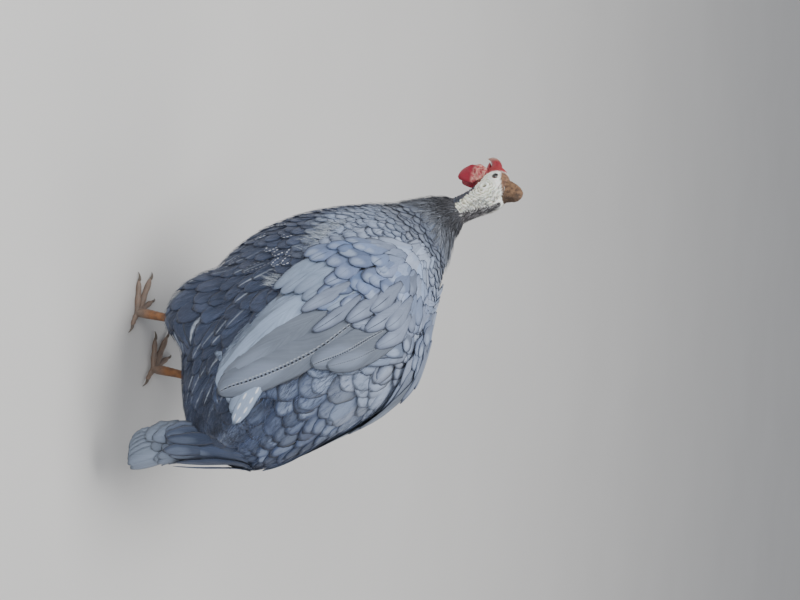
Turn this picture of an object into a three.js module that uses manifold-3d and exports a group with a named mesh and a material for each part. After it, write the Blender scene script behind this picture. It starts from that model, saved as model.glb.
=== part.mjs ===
// A life-size standing guinea fowl, as a still model.
// Millimetres. The bird faces -Y, its left side is +X, and it stands on the plane z = 0.
// Feathers of the wings and tail are overlapping vanes, and the ruff and nape are tapered locks.
import * as THREE from 'three';
import { mergeVertices } from 'three/addons/utils/BufferGeometryUtils.js';
import Module from 'manifold-3d';

const wasm = await Module();
wasm.setup();

// Driving dimensions
const GAP = 0.3; // between two neighbouring parts, face to face
const FOOT_SPREAD = 35; // from the midline to each shank
const STEP_BACK = 27; // how far the right foot stands behind the left
const THIGH_BACK = 10; // and how far its thigh lies behind
const SHANK_TOP = 74;
const SHANK_RADIUS = 4.4;
const MIDDLE_TOE = 46;
const CLAW_LENGTH = 9;
const EYE_RADIUS = 4.2;
const EYE_PLACE = [11.3, -227, 358];
const EAR_PLACE = [13.4, -211, 349.5];
const VANE_THICKNESS = 0.8;
const WING_BULGE = 8; // how far the folded wing stands off the flank
const WING_FRONT = 0.18; // where the wing starts and ends along the torso, 0 breast, 1 rump
const WING_BACK = 0.905;
const SKIRT = 3; // how deep a wing's base starts inside the flank, before it is trimmed to it

// Each form is lofted along a centre line in the midplane. A row is
// [y, z, rise, drop, half width, sideways offset], rise to the side of the line's left-hand normal.
const TORSO = [
  [-174, 304, 50, 50, 44],
  [-134, 274, 76, 80, 67],
  [-90, 243, 100, 110, 84],
  [-44, 214, 120, 134, 92],
  [4, 190, 118, 134, 94],
  [50, 170, 102, 118, 90],
  [98, 154, 88, 92, 81],
  [150, 138, 84, 66, 65],
];
const TORSO_SHAPE = { square: 2.12, front: 2.6, back: 3 };

const NECK = [
  [-206, 350, 16, 16, 13],
  [-199.5, 340.5, 17, 17, 14.5],
  [-180, 316, 19, 20, 17.5],
  [-164, 294, 28, 30, 26],
  [-150, 276, 38, 40, 36],
];
const NECK_SHAPE = { square: 2, front: 6, back: 6 };

const HEAD = [
  [-249, 351, 10, 9, 7.5],
  [-240, 352.5, 15, 14, 11],
  [-227, 355, 19, 19, 14],
  [-213, 356, 22, 22, 15.6],
  [-200, 354, 23, 21, 15.2],
  [-186, 348, 18, 17, 13],
];
const HEAD_SHAPE = { square: 2.1, front: 2.3, back: 2.4 };

const CASQUE = [
  [-214, 362, 20, 15, 10.5],
  [-214, 370, 16.5, 13.5, 9],
  [-213, 377, 13, 11.5, 7.4],
  [-211, 383.5, 10.5, 9.5, 6.2],
  [-209.5, 390, 8, 7.2, 4.8],
];
const CASQUE_SHAPE = { square: 2.3, front: 8, back: 3.4 };

const BILL_UPPER = [
  [-263, 337.5, 1.4, 1, 1.2],
  [-260.5, 343.5, 4.6, 2.6, 3.2],
  [-254, 348, 7.4, 3.6, 5.4],
  [-243, 350.5, 9.5, 4.4, 7.6],
];
const BILL_LOWER = [
  [-257.5, 341, 1.2, 1.6, 1.6],
  [-250, 343.2, 1.8, 3.2, 4.2],
  [-240, 344.5, 2.4, 5, 6.4],
];
const BILL_SHAPE = { square: 2, front: 2.2, back: 14 };

const WATTLE = [
  [-236.5, 345.5, 8.5, 9, 1.8, 9.4],
  [-236.5, 336, 13, 12, 2, 9.6],
  [-234.5, 326.5, 13.5, 12.5, 2.2, 9.2],
  [-231.5, 318.5, 10.5, 10.5, 2.4, 8.6],
  [-228.5, 312.5, 6.5, 6.5, 2.3, 8.2],
];
const WATTLE_SHAPE = { square: 2, front: 2.2, back: 2.4 };
const WATTLE_SWING = 4; // the right one has swung this far forward

const THIGH = [
  [-24, 156, 50, 38, 25, 54],
  [-13, 120, 60, 43, 29, 54],
  [2, 84, 58, 39, 28, 50],
  [13, 54, 42, 30, 21, 44],
];
const THIGH_SHAPE = { square: 2.1, front: 2.4, back: 2.4 };

const TAIL_LINE = [
  [116, 146],
  [140, 112],
  [159, 78],
  [172, 45],
];
const TAIL_HALF_WIDTH = 31;
const TAIL_ROOF = 15; // how much lower the tail's edges lie than its ridge

// Edges of the folded wing over the torso, in degrees down from the back, from breast to rump
const WING_UPPER_EDGE = [[26], [13], [10], [11], [22], [36], [46], [53], [67]];
const WING_LOWER_EDGE = [[52], [73], [86], [89.5], [89], [87.5], [86], [86], [88]];

const material = (color, roughness) => new THREE.MeshStandardMaterial({ color, roughness, metalness: 0 });
const PLUMAGE = material(0x6f7482, 0.8);
const WING_FEATHER = material(0x8f97a8, 0.7);
const TAIL_FEATHER = material(0x7d8699, 0.7);
const DARK_DOWN = material(0x3c3d44, 0.9);
const BARE_SKIN = material(0xe6dccb, 0.55);
const RED_SKIN = material(0xb01f24, 0.45);
const HORN = material(0xa8794f, 0.75);
const BILL_HORN = material(0xc4604f, 0.45);
const EYE = material(0x140f0d, 0.1);
const SCALED_SKIN = material(0x8c6242, 0.6);
const CLAW = material(0x3a322c, 0.5);

// A repeatable stream of numbers from 0 to 1
function randomStream(seed) {
  let state = seed;
  return () => {
    state = (state * 1664525 + 1013904223) % 4294967296;
    return state / 4294967296;
  };
}

const radians = (degrees) => (degrees * Math.PI) / 180;
const mix = (a, b, t) => a + (b - a) * t;

// A smooth curve through the rows of a table (uniform Catmull-Rom), at u from 0 to 1
function spline(rows, u) {
  const last = rows.length - 1;
  const place = Math.min(Math.max(u, 0), 1) * last;
  const i = Math.min(Math.floor(place), last - 1);
  const t = place - i;
  const [before, here, next, after] = [rows[i - 1], rows[i], rows[i + 1], rows[i + 2]];
  return here.map((p1, k) => {
    const p2 = next[k];
    const p0 = before ? before[k] : 2 * p1 - p2;
    const p3 = after ? after[k] : 2 * p2 - p1;
    const square = 2 * p0 - 5 * p1 + 4 * p2 - p3;
    const cube = -p0 + 3 * p1 - 3 * p2 + p3;
    return 0.5 * (2 * p1 + (p2 - p0) * t + square * t * t + cube * t * t * t);
  });
}

// The unit direction of a table's centre line in the midplane
function direction(rows, u) {
  const step = 0.001;
  const [y0, z0] = spline(rows, Math.max(u - step, 0));
  const [y1, z1] = spline(rows, Math.min(u + step, 1));
  const length = Math.hypot(y1 - y0, z1 - z0);
  return [(y1 - y0) / length, (z1 - z0) / length];
}

// A point on a form: u along it, v round it in radians from the rise side, grow millimetres off it.
// The section is a superellipse, and the ends close as superellipses of power front and back.
function pointOn(rows, shape, u, v, grow = 0) {
  const [y, z, rise, drop, half, offset = 0] = spline(rows, u);
  const [dy, dz] = direction(rows, u);
  const along = 1 - 2 * u;
  const power = along > 0 ? shape.front : shape.back;
  const closing = (1 - Math.abs(along) ** power) ** (1 / power);
  const [cosine, sine] = [Math.cos(v), Math.sin(v)];
  const round = (Math.abs(cosine) ** shape.square + Math.abs(sine) ** shape.square) ** (-1 / shape.square);
  const out = ((cosine > 0 ? rise : drop) * closing + grow) * cosine * round;
  const side = (half * closing + grow) * sine * round;
  const back = along * grow;
  return [offset + side, y - dz * out - dy * back, z + dy * out - dz * back];
}

// A solid from points and triangles, turned so that its faces point out
function solidOf(points, triangles) {
  const [a, b, c] = [new THREE.Vector3(), new THREE.Vector3(), new THREE.Vector3()];
  let volume = 0;
  for (const [i, j, k] of triangles) {
    a.fromArray(points[i]);
    b.fromArray(points[j]);
    c.fromArray(points[k]);
    volume += a.dot(b.cross(c));
  }
  const facing = volume < 0 ? triangles.map(([i, j, k]) => [i, k, j]) : triangles;
  const vertProperties = Float32Array.from(points.flat());
  const triVerts = Uint32Array.from(facing.flat());
  return new wasm.Manifold(new wasm.Mesh({ numProp: 3, vertProperties, triVerts }));
}

// A closed loft through rings of points, capped by a fan round a point at each end
function loft(rings, first, last) {
  const count = rings[0].length;
  const points = [first, ...rings.flat(), last];
  const triangles = [];
  const at = (ring, k) => 1 + ring * count + (k % count);
  for (let k = 0; k < count; k++) {
    triangles.push([0, at(0, k + 1), at(0, k)]);
    triangles.push([points.length - 1, at(rings.length - 1, k), at(rings.length - 1, k + 1)]);
    for (let ring = 0; ring + 1 < rings.length; ring++) {
      triangles.push([at(ring, k), at(ring, k + 1), at(ring + 1, k + 1)]);
      triangles.push([at(ring, k), at(ring + 1, k + 1), at(ring + 1, k)]);
    }
  }
  return solidOf(points, triangles);
}

// The solid of a form, with its rings closer together towards the ends
function formSolid(rows, shape, rings, sides, grow = 0) {
  const lengthwise = (ring) => (1 - Math.cos((Math.PI * ring) / rings)) / 2;
  const sections = [];
  for (let ring = 1; ring < rings; ring++) {
    const section = [];
    for (let k = 0; k < sides; k++) {
      section.push(pointOn(rows, shape, lengthwise(ring), (2 * Math.PI * k) / sides, grow));
    }
    sections.push(section);
  }
  return loft(sections, pointOn(rows, shape, 0, 0, grow), pointOn(rows, shape, 1, 0, grow));
}

// A three.js geometry as a solid, moved to its place
function solidFromGeometry(geometry, place) {
  geometry.deleteAttribute('normal');
  geometry.deleteAttribute('uv');
  const merged = mergeVertices(geometry, 1e-4);
  const { array } = merged.attributes.position;
  const points = [];
  for (let i = 0; i < array.length; i += 3) {
    points.push([array[i] + place[0], array[i + 1] + place[1], array[i + 2] + place[2]]);
  }
  const triangles = [];
  for (let i = 0; i < merged.index.count; i += 3) {
    const corners = [merged.index.getX(i), merged.index.getX(i + 1), merged.index.getX(i + 2)];
    if (new Set(corners).size === 3) triangles.push(corners);
  }
  return solidOf(points, triangles);
}

const ball = (radius, place, across = 11, down = 7) =>
  solidFromGeometry(new THREE.SphereGeometry(radius, across, down), place);

// Every solid of a list joined into one, of which the largest closed surface is kept
function joined(solids) {
  return largest(solids.reduce((whole, solid) => whole.add(solid)));
}

function largest(solid) {
  const pieces = solid.decompose();
  return pieces.reduce((best, piece) => (piece.volume() > best.volume() ? piece : best));
}

// A named mesh from a solid
function meshOf(solid, name, look) {
  const { numProp, vertProperties, triVerts } = solid.getMesh();
  const positions = [];
  for (let i = 0; i < vertProperties.length; i += numProp) {
    positions.push(vertProperties[i], vertProperties[i + 1], vertProperties[i + 2]);
  }
  const geometry = new THREE.BufferGeometry();
  geometry.setAttribute('position', new THREE.Float32BufferAttribute(positions, 3));
  geometry.setIndex(Array.from(triVerts));
  geometry.computeVertexNormals();
  const mesh = new THREE.Mesh(geometry, look);
  mesh.name = name;
  return mesh;
}

const vector = (point) => new THREE.Vector3(...point);

// Width of a vane along its length, 1 at its widest: narrow at the quill, full, then round at the tip
function vaneOutline(along, roundness) {
  const swell = Math.min(1, 0.32 + 1.5 * along);
  const end = Math.max(0, (along - 1 + roundness) / roundness);
  return swell * Math.sqrt(1 - 0.88 * end * end);
}

// One feather vane: a thin blade laid along a line of centre points with outward normals.
// Its two faces are split into triangles alike, so that they stay parallel. Tilt raises one
// edge so that the next vane slides under it.
function vane(line, { width, tilt = 0, roundness = 0.3, thickness = VANE_THICKNESS }) {
  const count = line.length;
  const offsets = [-1, 1];
  const across = offsets.length;
  const points = [];
  line.forEach(({ centre, normal }, k) => {
    const along = k / (count - 1);
    const before = line[Math.max(k - 1, 0)].centre;
    const after = line[Math.min(k + 1, count - 1)].centre;
    const forward = after.clone().sub(before).normalize();
    const side = normal.clone().cross(forward).normalize();
    const up = forward.clone().cross(side).normalize();
    const half = (width / 2) * vaneOutline(along, roundness);
    for (const layer of [0.5, -0.5]) {
      for (const offset of offsets) {
        const raise = layer * thickness + offset * half * tilt;
        const point = centre.clone().addScaledVector(side, offset * half).addScaledVector(up, raise);
        points.push(point.toArray());
      }
    }
  });
  const triangles = [];
  const at = (k, layer, column) => (k * 2 + layer) * across + column;
  const strip = (a, b, c, d) => triangles.push([a, b, c], [a, c, d]);
  for (let k = 0; k + 1 < count; k++) {
    for (let column = 0; column + 1 < across; column++) {
      strip(at(k, 0, column), at(k, 0, column + 1), at(k + 1, 0, column + 1), at(k + 1, 0, column));
      triangles.push([at(k, 1, column), at(k + 1, 1, column + 1), at(k, 1, column + 1)]);
      triangles.push([at(k, 1, column), at(k + 1, 1, column), at(k + 1, 1, column + 1)]);
    }
    strip(at(k, 1, 0), at(k, 0, 0), at(k + 1, 0, 0), at(k + 1, 1, 0));
    strip(at(k, 0, across - 1), at(k, 1, across - 1), at(k + 1, 1, across - 1), at(k + 1, 0, across - 1));
  }
  for (let column = 0; column + 1 < across; column++) {
    strip(at(0, 0, column), at(0, 1, column), at(0, 1, column + 1), at(0, 0, column + 1));
    const end = count - 1;
    strip(at(end, 0, column), at(end, 0, column + 1), at(end, 1, column + 1), at(end, 1, column));
  }
  return solidOf(points, triangles);
}

// Stations of a vane over a surface, from one (u, v) to another, rising from one lift to another
function lineOver(surface, from, to, lifts, steps) {
  const line = [];
  for (let k = 0; k <= steps; k++) {
    const t = k / steps;
    const [u, v] = [mix(from[0], to[0], t), mix(from[1], to[1], t)];
    const lift = mix(lifts[0], lifts[1], t);
    const centre = vector(surface(u, v, lift));
    const step = u > 0.5 ? -0.004 : 0.004;
    const along = vector(surface(u + step, v, lift)).sub(centre);
    const down = vector(surface(u, v + step, lift)).sub(centre);
    const normal = along.cross(down).normalize();
    const outward = vector(surface(u, v, lift + 1)).sub(centre);
    if (normal.dot(outward) < 0) normal.negate();
    line.push({ centre, normal });
  }
  return line;
}

// One tapered lock: a flat four-sided blade bent along three points, ending in a tip
function lock(from, bend, to, outward, width, thickness) {
  const curve = new THREE.QuadraticBezierCurve3(from, bend, to);
  const rings = [];
  const steps = 3;
  for (let k = 0; k < steps; k++) {
    const t = k / steps;
    const centre = curve.getPoint(t);
    const forward = curve.getTangent(t);
    const side = outward.clone().cross(forward).normalize();
    const up = forward.clone().cross(side).normalize();
    const taper = 1 - 0.55 * t;
    const corner = (a, b) =>
      centre.clone().addScaledVector(side, (a * width * taper) / 2)
        .addScaledVector(up, (b * thickness * taper) / 2).toArray();
    rings.push([corner(-1, 0), corner(0, 1), corner(1, 0), corner(0, -1)]);
  }
  return loft(rings, from.toArray(), to.toArray());
}

// The mirror image of a solid across the midplane
const mirrored = (solid) => solid.mirror([1, 0, 0]);

const onTorso = (u, v, lift) => pointOn(TORSO, TORSO_SHAPE, u, v, lift);
const onNeck = (u, v, lift) => pointOn(NECK, NECK_SHAPE, u, v, lift);
const torsoSolid = formSolid(TORSO, TORSO_SHAPE, 24, 28);
const torsoClearance = formSolid(TORSO, TORSO_SHAPE, 24, 28, GAP);
const headClearance = formSolid(HEAD, HEAD_SHAPE, 13, 16, GAP);

// Torso: the outer shape of the plumage
function makeTorso() {
  return meshOf(torsoSolid, 'torso', PLUMAGE);
}

// Neck: its tube, the shaggy ruff round its foot and the bristly strip up its nape
function makeNeck() {
  const random = randomStream(11);
  const solids = [formSolid(NECK, NECK_SHAPE, 10, 16)];
  const rows = [
    { start: 0.44, reach: 0.085, count: 12, lift: 5, width: 13 },
    { start: 0.36, reach: 0.055, count: 9, lift: 9, width: 12 },
  ];
  for (const { start, reach, count, lift, width } of rows) {
    for (let k = 0; k < count; k++) {
      const angle = (2 * Math.PI * (k + 0.6 * random())) / count;
      const far = reach * (0.8 + 0.4 * random()) * (1 - 0.16 * (1 - Math.cos(angle)));
      const from = vector(onNeck(start, angle, -3));
      const bend = vector(onNeck(start + 0.2, angle, lift));
      const to = vector(onTorso(far, angle, lift + 2 * random()));
      const outward = vector(onNeck(start, angle, 9)).sub(from).normalize();
      solids.push(lock(from, bend, to, outward, width * (0.85 + 0.3 * random()), 1.6));
    }
  }
  const napeRows = 4;
  const perRow = 3;
  for (let row = 0; row < napeRows; row++) {
    for (let k = 0; k < perRow; k++) {
      const angle = radians(mix(-42, 42, (k + 0.3 + 0.4 * random()) / perRow));
      const start = mix(0.19, 0.5, row / (napeRows - 1));
      const from = vector(onNeck(start, angle, -2));
      const bend = vector(onNeck(start + 0.09, angle, 2.4));
      const to = vector(onNeck(start + 0.15 + 0.04 * random(), angle, 5.2));
      const outward = vector(onNeck(start, angle, 8)).sub(from).normalize();
      solids.push(lock(from, bend, to, outward, 5, 1.3));
    }
  }
  const whole = joined(solids).subtract(torsoClearance).subtract(headClearance);
  return meshOf(largest(whole), 'neck', DARK_DOWN);
}

// A ring of soft skin, lying in the side of the head, facing out along x
function skinRing(radius, tube, place, stretch) {
  const geometry = new THREE.TorusGeometry(radius, tube, 5, 11);
  geometry.scale(stretch, 1, 1);
  geometry.rotateY(Math.PI / 2);
  return solidFromGeometry(geometry, place);
}

// Head: the bare face with lids round the eyes, an ear cup behind each, and the line of the mouth
function makeHead() {
  const [eyeX, eyeY, eyeZ] = EYE_PLACE;
  const [earX, earY, earZ] = EAR_PLACE;
  const half = [
    skinRing(EYE_RADIUS - 0.1, 1.1, [eyeX + 1.9, eyeY, eyeZ], 1.12),
    skinRing(2.9, 1.1, [earX + 0.6, earY, earZ], 0.85),
  ];
  const hollow = [
    ball(EYE_RADIUS + GAP, EYE_PLACE),
    ball(2.3, [earX + 2.1, earY, earZ], 9, 6),
  ];
  const mouth = new THREE.BoxGeometry(40, 9, 0.7);
  mouth.rotateX(radians(12));
  const solids = [formSolid(HEAD, HEAD_SHAPE, 13, 16), ...half, ...half.map(mirrored)];
  let whole = joined(solids);
  for (const cut of [...hollow, ...hollow.map(mirrored)]) whole = whole.subtract(cut);
  whole = whole.subtract(solidFromGeometry(mouth, [0, -245.5, 346.2]));
  return meshOf(largest(whole), 'head', BARE_SKIN);
}

function makeCasque() {
  const solid = formSolid(CASQUE, CASQUE_SHAPE, 9, 14).subtract(headClearance);
  return meshOf(largest(solid), 'casque', HORN);
}

// Bill: two mandibles, with a nostril in each side of the upper one
function makeBill() {
  const upperClearance = formSolid(BILL_UPPER, BILL_SHAPE, 7, 10, GAP);
  let upper = formSolid(BILL_UPPER, BILL_SHAPE, 7, 10).subtract(headClearance);
  for (const side of [-1, 1]) {
    const nostril = new THREE.SphereGeometry(1.5, 8, 6);
    nostril.scale(1, 1.5, 0.8);
    upper = upper.subtract(solidFromGeometry(nostril, [side * 5.4, -253, 351]));
  }
  const lower = formSolid(BILL_LOWER, BILL_SHAPE, 7, 10).subtract(headClearance).subtract(upperClearance);
  return [
    meshOf(largest(upper), 'bill_upper', BILL_HORN),
    meshOf(largest(lower), 'bill_lower', BILL_HORN),
  ];
}

// Wattle: a thin lobe hanging from the corner of the mouth, with shallow folds across it
function makeWattle(side, name) {
  const sections = [];
  const rings = 14;
  const sides = 12;
  const foldDepth = 0.7;
  const folds = 4;
  const placeOn = (u, v) => {
    const [x, y, z] = pointOn(WATTLE, WATTLE_SHAPE, u, v);
    const curl = 1.6 * Math.cos(v) ** 2;
    return [x - curl + foldDepth * Math.sin(2 * Math.PI * folds * u) * (1 - u), y, z];
  };
  for (let ring = 1; ring < rings; ring++) {
    const u = (1 - Math.cos((Math.PI * ring) / rings)) / 2;
    const section = [];
    for (let k = 0; k < sides; k++) section.push(placeOn(u, (2 * Math.PI * k) / sides));
    sections.push(section);
  }
  const billClearance = formSolid(BILL_UPPER, BILL_SHAPE, 7, 10, GAP)
    .add(formSolid(BILL_LOWER, BILL_SHAPE, 7, 10, GAP));
  const lobe = loft(sections, placeOn(0, 0), placeOn(1, 0));
  const placed = side > 0 ? lobe : mirrored(lobe).translate([0, -WATTLE_SWING, 0]);
  return meshOf(largest(placed.subtract(headClearance).subtract(billClearance)), name, RED_SKIN);
}

function makeEye(side, name) {
  const [x, y, z] = EYE_PLACE;
  return meshOf(ball(EYE_RADIUS, [side * x, y, z], 14, 9), name, EYE);
}

// Where a point of the folded wing lies: s from shoulder to tip, t from upper to lower edge,
// lift millimetres above the wing's own bulge
function onWing(s, t, lift) {
  const [upper] = spline(WING_UPPER_EDGE, s);
  const [lower] = spline(WING_LOWER_EDGE, s);
  const inside = Math.max(0, Math.sin(Math.PI * Math.min(Math.max(t, 0), 1)));
  const fade = Math.min(1, Math.max(0, s) / 0.2, Math.max(0, 1.05 - s) / 0.45);
  const bulge = 1.6 + (WING_BULGE - 1.6) * inside ** 0.6 * fade * (0.35 + 0.65 * Math.min(1, t / 0.45));
  return onTorso(mix(WING_FRONT, WING_BACK, s), radians(mix(upper, lower, t)), bulge + lift);
}

// The wing's base: a slab over the flank, thin at its edges
function wingBase() {
  const [lengthwise, across] = [10, 6];
  const points = [];
  const triangles = [];
  const at = (layer, i, j) => (layer * (lengthwise + 1) + i) * (across + 1) + j;
  for (const lift of [0, null]) {
    for (let i = 0; i <= lengthwise; i++) {
      for (let j = 0; j <= across; j++) {
        const [s, t] = [mix(0, 0.86, i / lengthwise), j / across];
        const [upper] = spline(WING_UPPER_EDGE, s);
        const [lower] = spline(WING_LOWER_EDGE, s);
        const buried = () => onTorso(mix(WING_FRONT, WING_BACK, s), radians(mix(upper, lower, t)), -SKIRT);
        points.push(lift === null ? buried() : onWing(s, t, lift));
      }
    }
  }
  const quad = (a, b, c, d) => triangles.push([a, b, c], [a, c, d]);
  for (let i = 0; i < lengthwise; i++) {
    for (let j = 0; j < across; j++) {
      quad(at(0, i, j), at(0, i, j + 1), at(0, i + 1, j + 1), at(0, i + 1, j));
      quad(at(1, i, j), at(1, i + 1, j), at(1, i + 1, j + 1), at(1, i, j + 1));
    }
    quad(at(0, i, 0), at(0, i + 1, 0), at(1, i + 1, 0), at(1, i, 0));
    quad(at(0, i, across), at(1, i, across), at(1, i + 1, across), at(0, i + 1, across));
  }
  for (let j = 0; j < across; j++) {
    quad(at(0, 0, j), at(1, 0, j), at(1, 0, j + 1), at(0, 0, j + 1));
    quad(at(0, lengthwise, j), at(0, lengthwise, j + 1), at(1, lengthwise, j + 1), at(1, lengthwise, j));
  }
  return solidOf(points, triangles);
}

// Flight feathers: primaries lowest with their tips showing behind, then secondaries and tertials
function flightFeathers() {
  const vanes = [];
  const primaries = 2;
  for (let k = 0; k < primaries; k++) {
    const from = [0.7, radians(68 + 3 * k)];
    const to = [0.938 - 0.02 * k, radians(61.5 + 8 * k)];
    const line = lineOver(onTorso, from, to, [3.4 - k * 0.4, 3 - k * 1.3], 4);
    vanes.push(vane(line, { width: 15 }));
  }
  const secondaries = 5;
  for (let k = 0; k < secondaries; k++) {
    const f = k / (secondaries - 1);
    const from = [0.36 - 0.06 * f, 0.93 - 0.58 * f];
    const to = [1 - 0.24 * ((f - 0.42) / 0.58) ** 2, 0.97 - 0.72 * f ** 1.25];
    const line = lineOver(onWing, from, to, [-1.4 + 0.35 * k, 0.6 + 1.7 * k], 4);
    vanes.push(vane(line, { width: 32, roundness: 0.22 }));
  }
  return vanes;
}

// Coverts in tiers: each row of rounded vanes lies over the roots of the row behind it
function wingCoverts() {
  const random = randomStream(29);
  const tiers = [
    { start: 0.29, length: 0.25, count: 4, low: 0.88, high: 0.4, width: 29, lift: 7.6 },
    { start: 0.17, length: 0.25, count: 3, low: 0.82, high: 0.38, width: 31, lift: 6.4 },
    { start: 0.05, length: 0.24, count: 3, low: 0.82, high: 0.36, width: 27, lift: 5.4 },
  ];
  const scapulars = [
    { start: 0.44, length: 0.28, count: 2, low: 0.24, high: 0.08, width: 30, lift: 6 },
    { start: 0.28, length: 0.29, count: 2, low: 0.22, high: 0.06, width: 30, lift: 5.2 },
    { start: 0.12, length: 0.28, count: 2, low: 0.26, high: 0.08, width: 28, lift: 4.4 },
  ];
  const vanes = [];
  for (const { start, length, count, low, high, width, lift } of [...tiers, ...scapulars]) {
    for (let k = 0; k < count; k++) {
      const t = mix(low, high, count > 1 ? k / (count - 1) : 0);
      const reach = length * (0.94 + 0.12 * random());
      const line = lineOver(onWing, [start, t], [start + reach, t + 0.02], [-1.2, lift], 3);
      vanes.push(vane(line, { width, tilt: 0.04, roundness: 0.45 }));
    }
  }
  return vanes;
}

function makeWing(side, name) {
  const feathers = [...flightFeathers(), ...wingCoverts()];
  const whole = joined([wingBase(), ...feathers]);
  const placed = side > 0 ? whole : mirrored(whole);
  return meshOf(largest(placed.subtract(torsoClearance)), name, WING_FEATHER);
}

// A point over the tail: a along it, b from the bird's right edge -1 to its left edge 1
function onTail(a, b, lift) {
  const [y, z] = spline(TAIL_LINE, a);
  const [dy, dz] = direction(TAIL_LINE, a);
  const spread = TAIL_HALF_WIDTH * (0.8 + 0.2 * a);
  const out = lift - TAIL_ROOF * b * b;
  return [b * spread, y - dz * out, z + dy * out];
}

// Tail: a fleshy base, rectrices stacked from the outer pair up to the middle, and coverts over them
function makeTail() {
  const base = [
    [104, 152, 12, 16, 22],
    [122, 136, 11, 16, 22],
    [140, 112, 6, 11, 18],
    [150, 92, 3, 6, 13],
  ];
  const solids = [formSolid(base, { square: 2, front: 3, back: 2.6 }, 9, 14)];
  const pairs = 5;
  for (let k = 0; k < pairs; k++) {
    const outer = 1 - k / (pairs - 0.5);
    for (const side of [-1, 1]) {
      const shift = side > 0 ? 0 : 0.6;
      const lifts = [-5 + 0.4 * k, shift + 1.25 * k - 3.4];
      const end = 0.9 + 0.1 * Math.sqrt(1 - outer * outer);
      const line = lineOver(onTail, [0.12, side * outer * 0.7], [end, side * outer * 0.82], lifts, 4);
      solids.push(vane(line, { width: 24, roundness: 0.24 }));
    }
  }
  const rows = [
    { start: 0.1, end: 0.52, places: [-0.66, 0, 0.66], lift: 7.4 },
    { start: 0, end: 0.38, places: [-0.8, -0.28, 0.28, 0.8], lift: 9 },
  ];
  for (const { start, end, places, lift } of rows) {
    for (const place of places) {
      const line = lineOver(onTail, [start, place * 0.8], [end, place], [0, lift], 3);
      solids.push(vane(line, { width: 23, roundness: 0.45 }));
    }
  }
  return meshOf(largest(joined(solids).subtract(torsoClearance)), 'tail', TAIL_FEATHER);
}

function makeThigh(side, name, shank) {
  const solid = formSolid(THIGH, THIGH_SHAPE, 12, 18);
  const placed = side > 0 ? solid : mirrored(solid).translate([0, THIGH_BACK, 0]);
  return meshOf(largest(placed.subtract(shank).subtract(torsoClearance)), name, PLUMAGE);
}

// Toes: name, length, heading in degrees from straight ahead, girth
const TOES = [
  ['inner', 34, -32, 3.7],
  ['middle', MIDDLE_TOE, 2, 4.1],
  ['outer', 36, 34, 3.7],
  ['hind', 17, 186, 3.1],
];

// A toe or claw lies along the floor with a flat sole at the given height
function toeSolid(start, end, radii, sole, arch) {
  const rings = [];
  const stations = 5;
  const sides = 8;
  const forward = vector(end).sub(vector(start));
  const side = new THREE.Vector3(-forward.y, forward.x, 0).normalize();
  const centreAt = (t) => vector(start).addScaledVector(forward, t);
  for (let k = 1; k < stations; k++) {
    const t = k / stations;
    const pad = 1 + arch * Math.cos(2 * Math.PI * 2 * t);
    const radius = mix(radii[0], radii[1], t) * pad * Math.min(1, 4.5 * t, 3.2 * (1 - t) + 0.55);
    const ring = [];
    for (let j = 0; j < sides; j++) {
      const angle = (2 * Math.PI * (j + 0.5)) / sides;
      const point = centreAt(t).addScaledVector(side, radius * Math.cos(angle));
      point.z = Math.max(sole, point.z + radius * Math.sin(angle));
      ring.push(point.toArray());
    }
    rings.push(ring);
  }
  return loft(rings, start, end);
}

// Shank: the scaly tarsus with its knobbly ankle, four toes on flat soles
function shankSolid(clear) {
  const [hockY, ankleY] = [9, 2];
  const grown = (value) => value + clear;
  const bone = [
    [hockY, SHANK_TOP, grown(6.4), grown(6), grown(5.6), FOOT_SPREAD + 2],
    [hockY - 1, 58, grown(4.9), grown(4.8), grown(SHANK_RADIUS), FOOT_SPREAD + 1],
    [5, 36, grown(4.6), grown(4.6), grown(SHANK_RADIUS - 0.2), FOOT_SPREAD],
    [ankleY, 14, grown(5.4), grown(5.4), grown(SHANK_RADIUS + 1), FOOT_SPREAD],
    [ankleY, 2.2, grown(5), grown(5), grown(SHANK_RADIUS + 1), FOOT_SPREAD],
  ];
  return formSolid(bone, { square: 2, front: 3, back: 3 }, 11, 12);
}

// The right leg is the left one's mirror image, a step behind it
const stepped = (solid, side) => (side > 0 ? solid : mirrored(solid).translate([0, STEP_BACK, 0]));

function makeLeg(side, suffix) {
  const hub = [FOOT_SPREAD, 1, 4.4];
  const solids = [shankSolid(0)];
  const claws = [];
  for (const [toe, length, heading, radius] of TOES) {
    const angle = radians(heading);
    const ahead = [Math.sin(angle), -Math.cos(angle)];
    const reach = (distance, height) => [hub[0] + ahead[0] * distance, hub[1] + ahead[1] * distance, height];
    const tip = reach(length, 1.9);
    solids.push(toeSolid(reach(-2, radius * 0.9), tip, [radius, radius * 0.72], 0, 0.07));
    const claw = toeSolid(reach(length + GAP, 2.4), reach(length + CLAW_LENGTH, 0.9), [2.3, 0.7], 0.35, 0);
    claws.push(meshOf(stepped(claw, side), `claw_${suffix}_${toe}`, CLAW));
  }
  const whole = stepped(joined(solids), side).subtract(torsoClearance);
  const shank = meshOf(largest(whole), `shank_${suffix}`, SCALED_SKIN);
  return [makeThigh(side, `thigh_${suffix}`, stepped(shankSolid(GAP), side)), shank, ...claws];
}

const bird = new THREE.Group();
bird.add(makeTorso(), makeNeck(), makeHead(), makeCasque(), ...makeBill(), makeTail());
for (const [side, suffix] of [[1, 'left'], [-1, 'right']]) {
  bird.add(makeWattle(side, `wattle_${suffix}`), makeEye(side, `eye_${suffix}`));
  bird.add(makeWing(side, `wing_${suffix}`), ...makeLeg(side, suffix));
}

// The origin is the middle of the box round the bird, at floor level
const box = new THREE.Box3().setFromObject(bird);
const middle = box.getCenter(new THREE.Vector3());
bird.position.set(-middle.x, -middle.y, -box.min.z);

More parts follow.
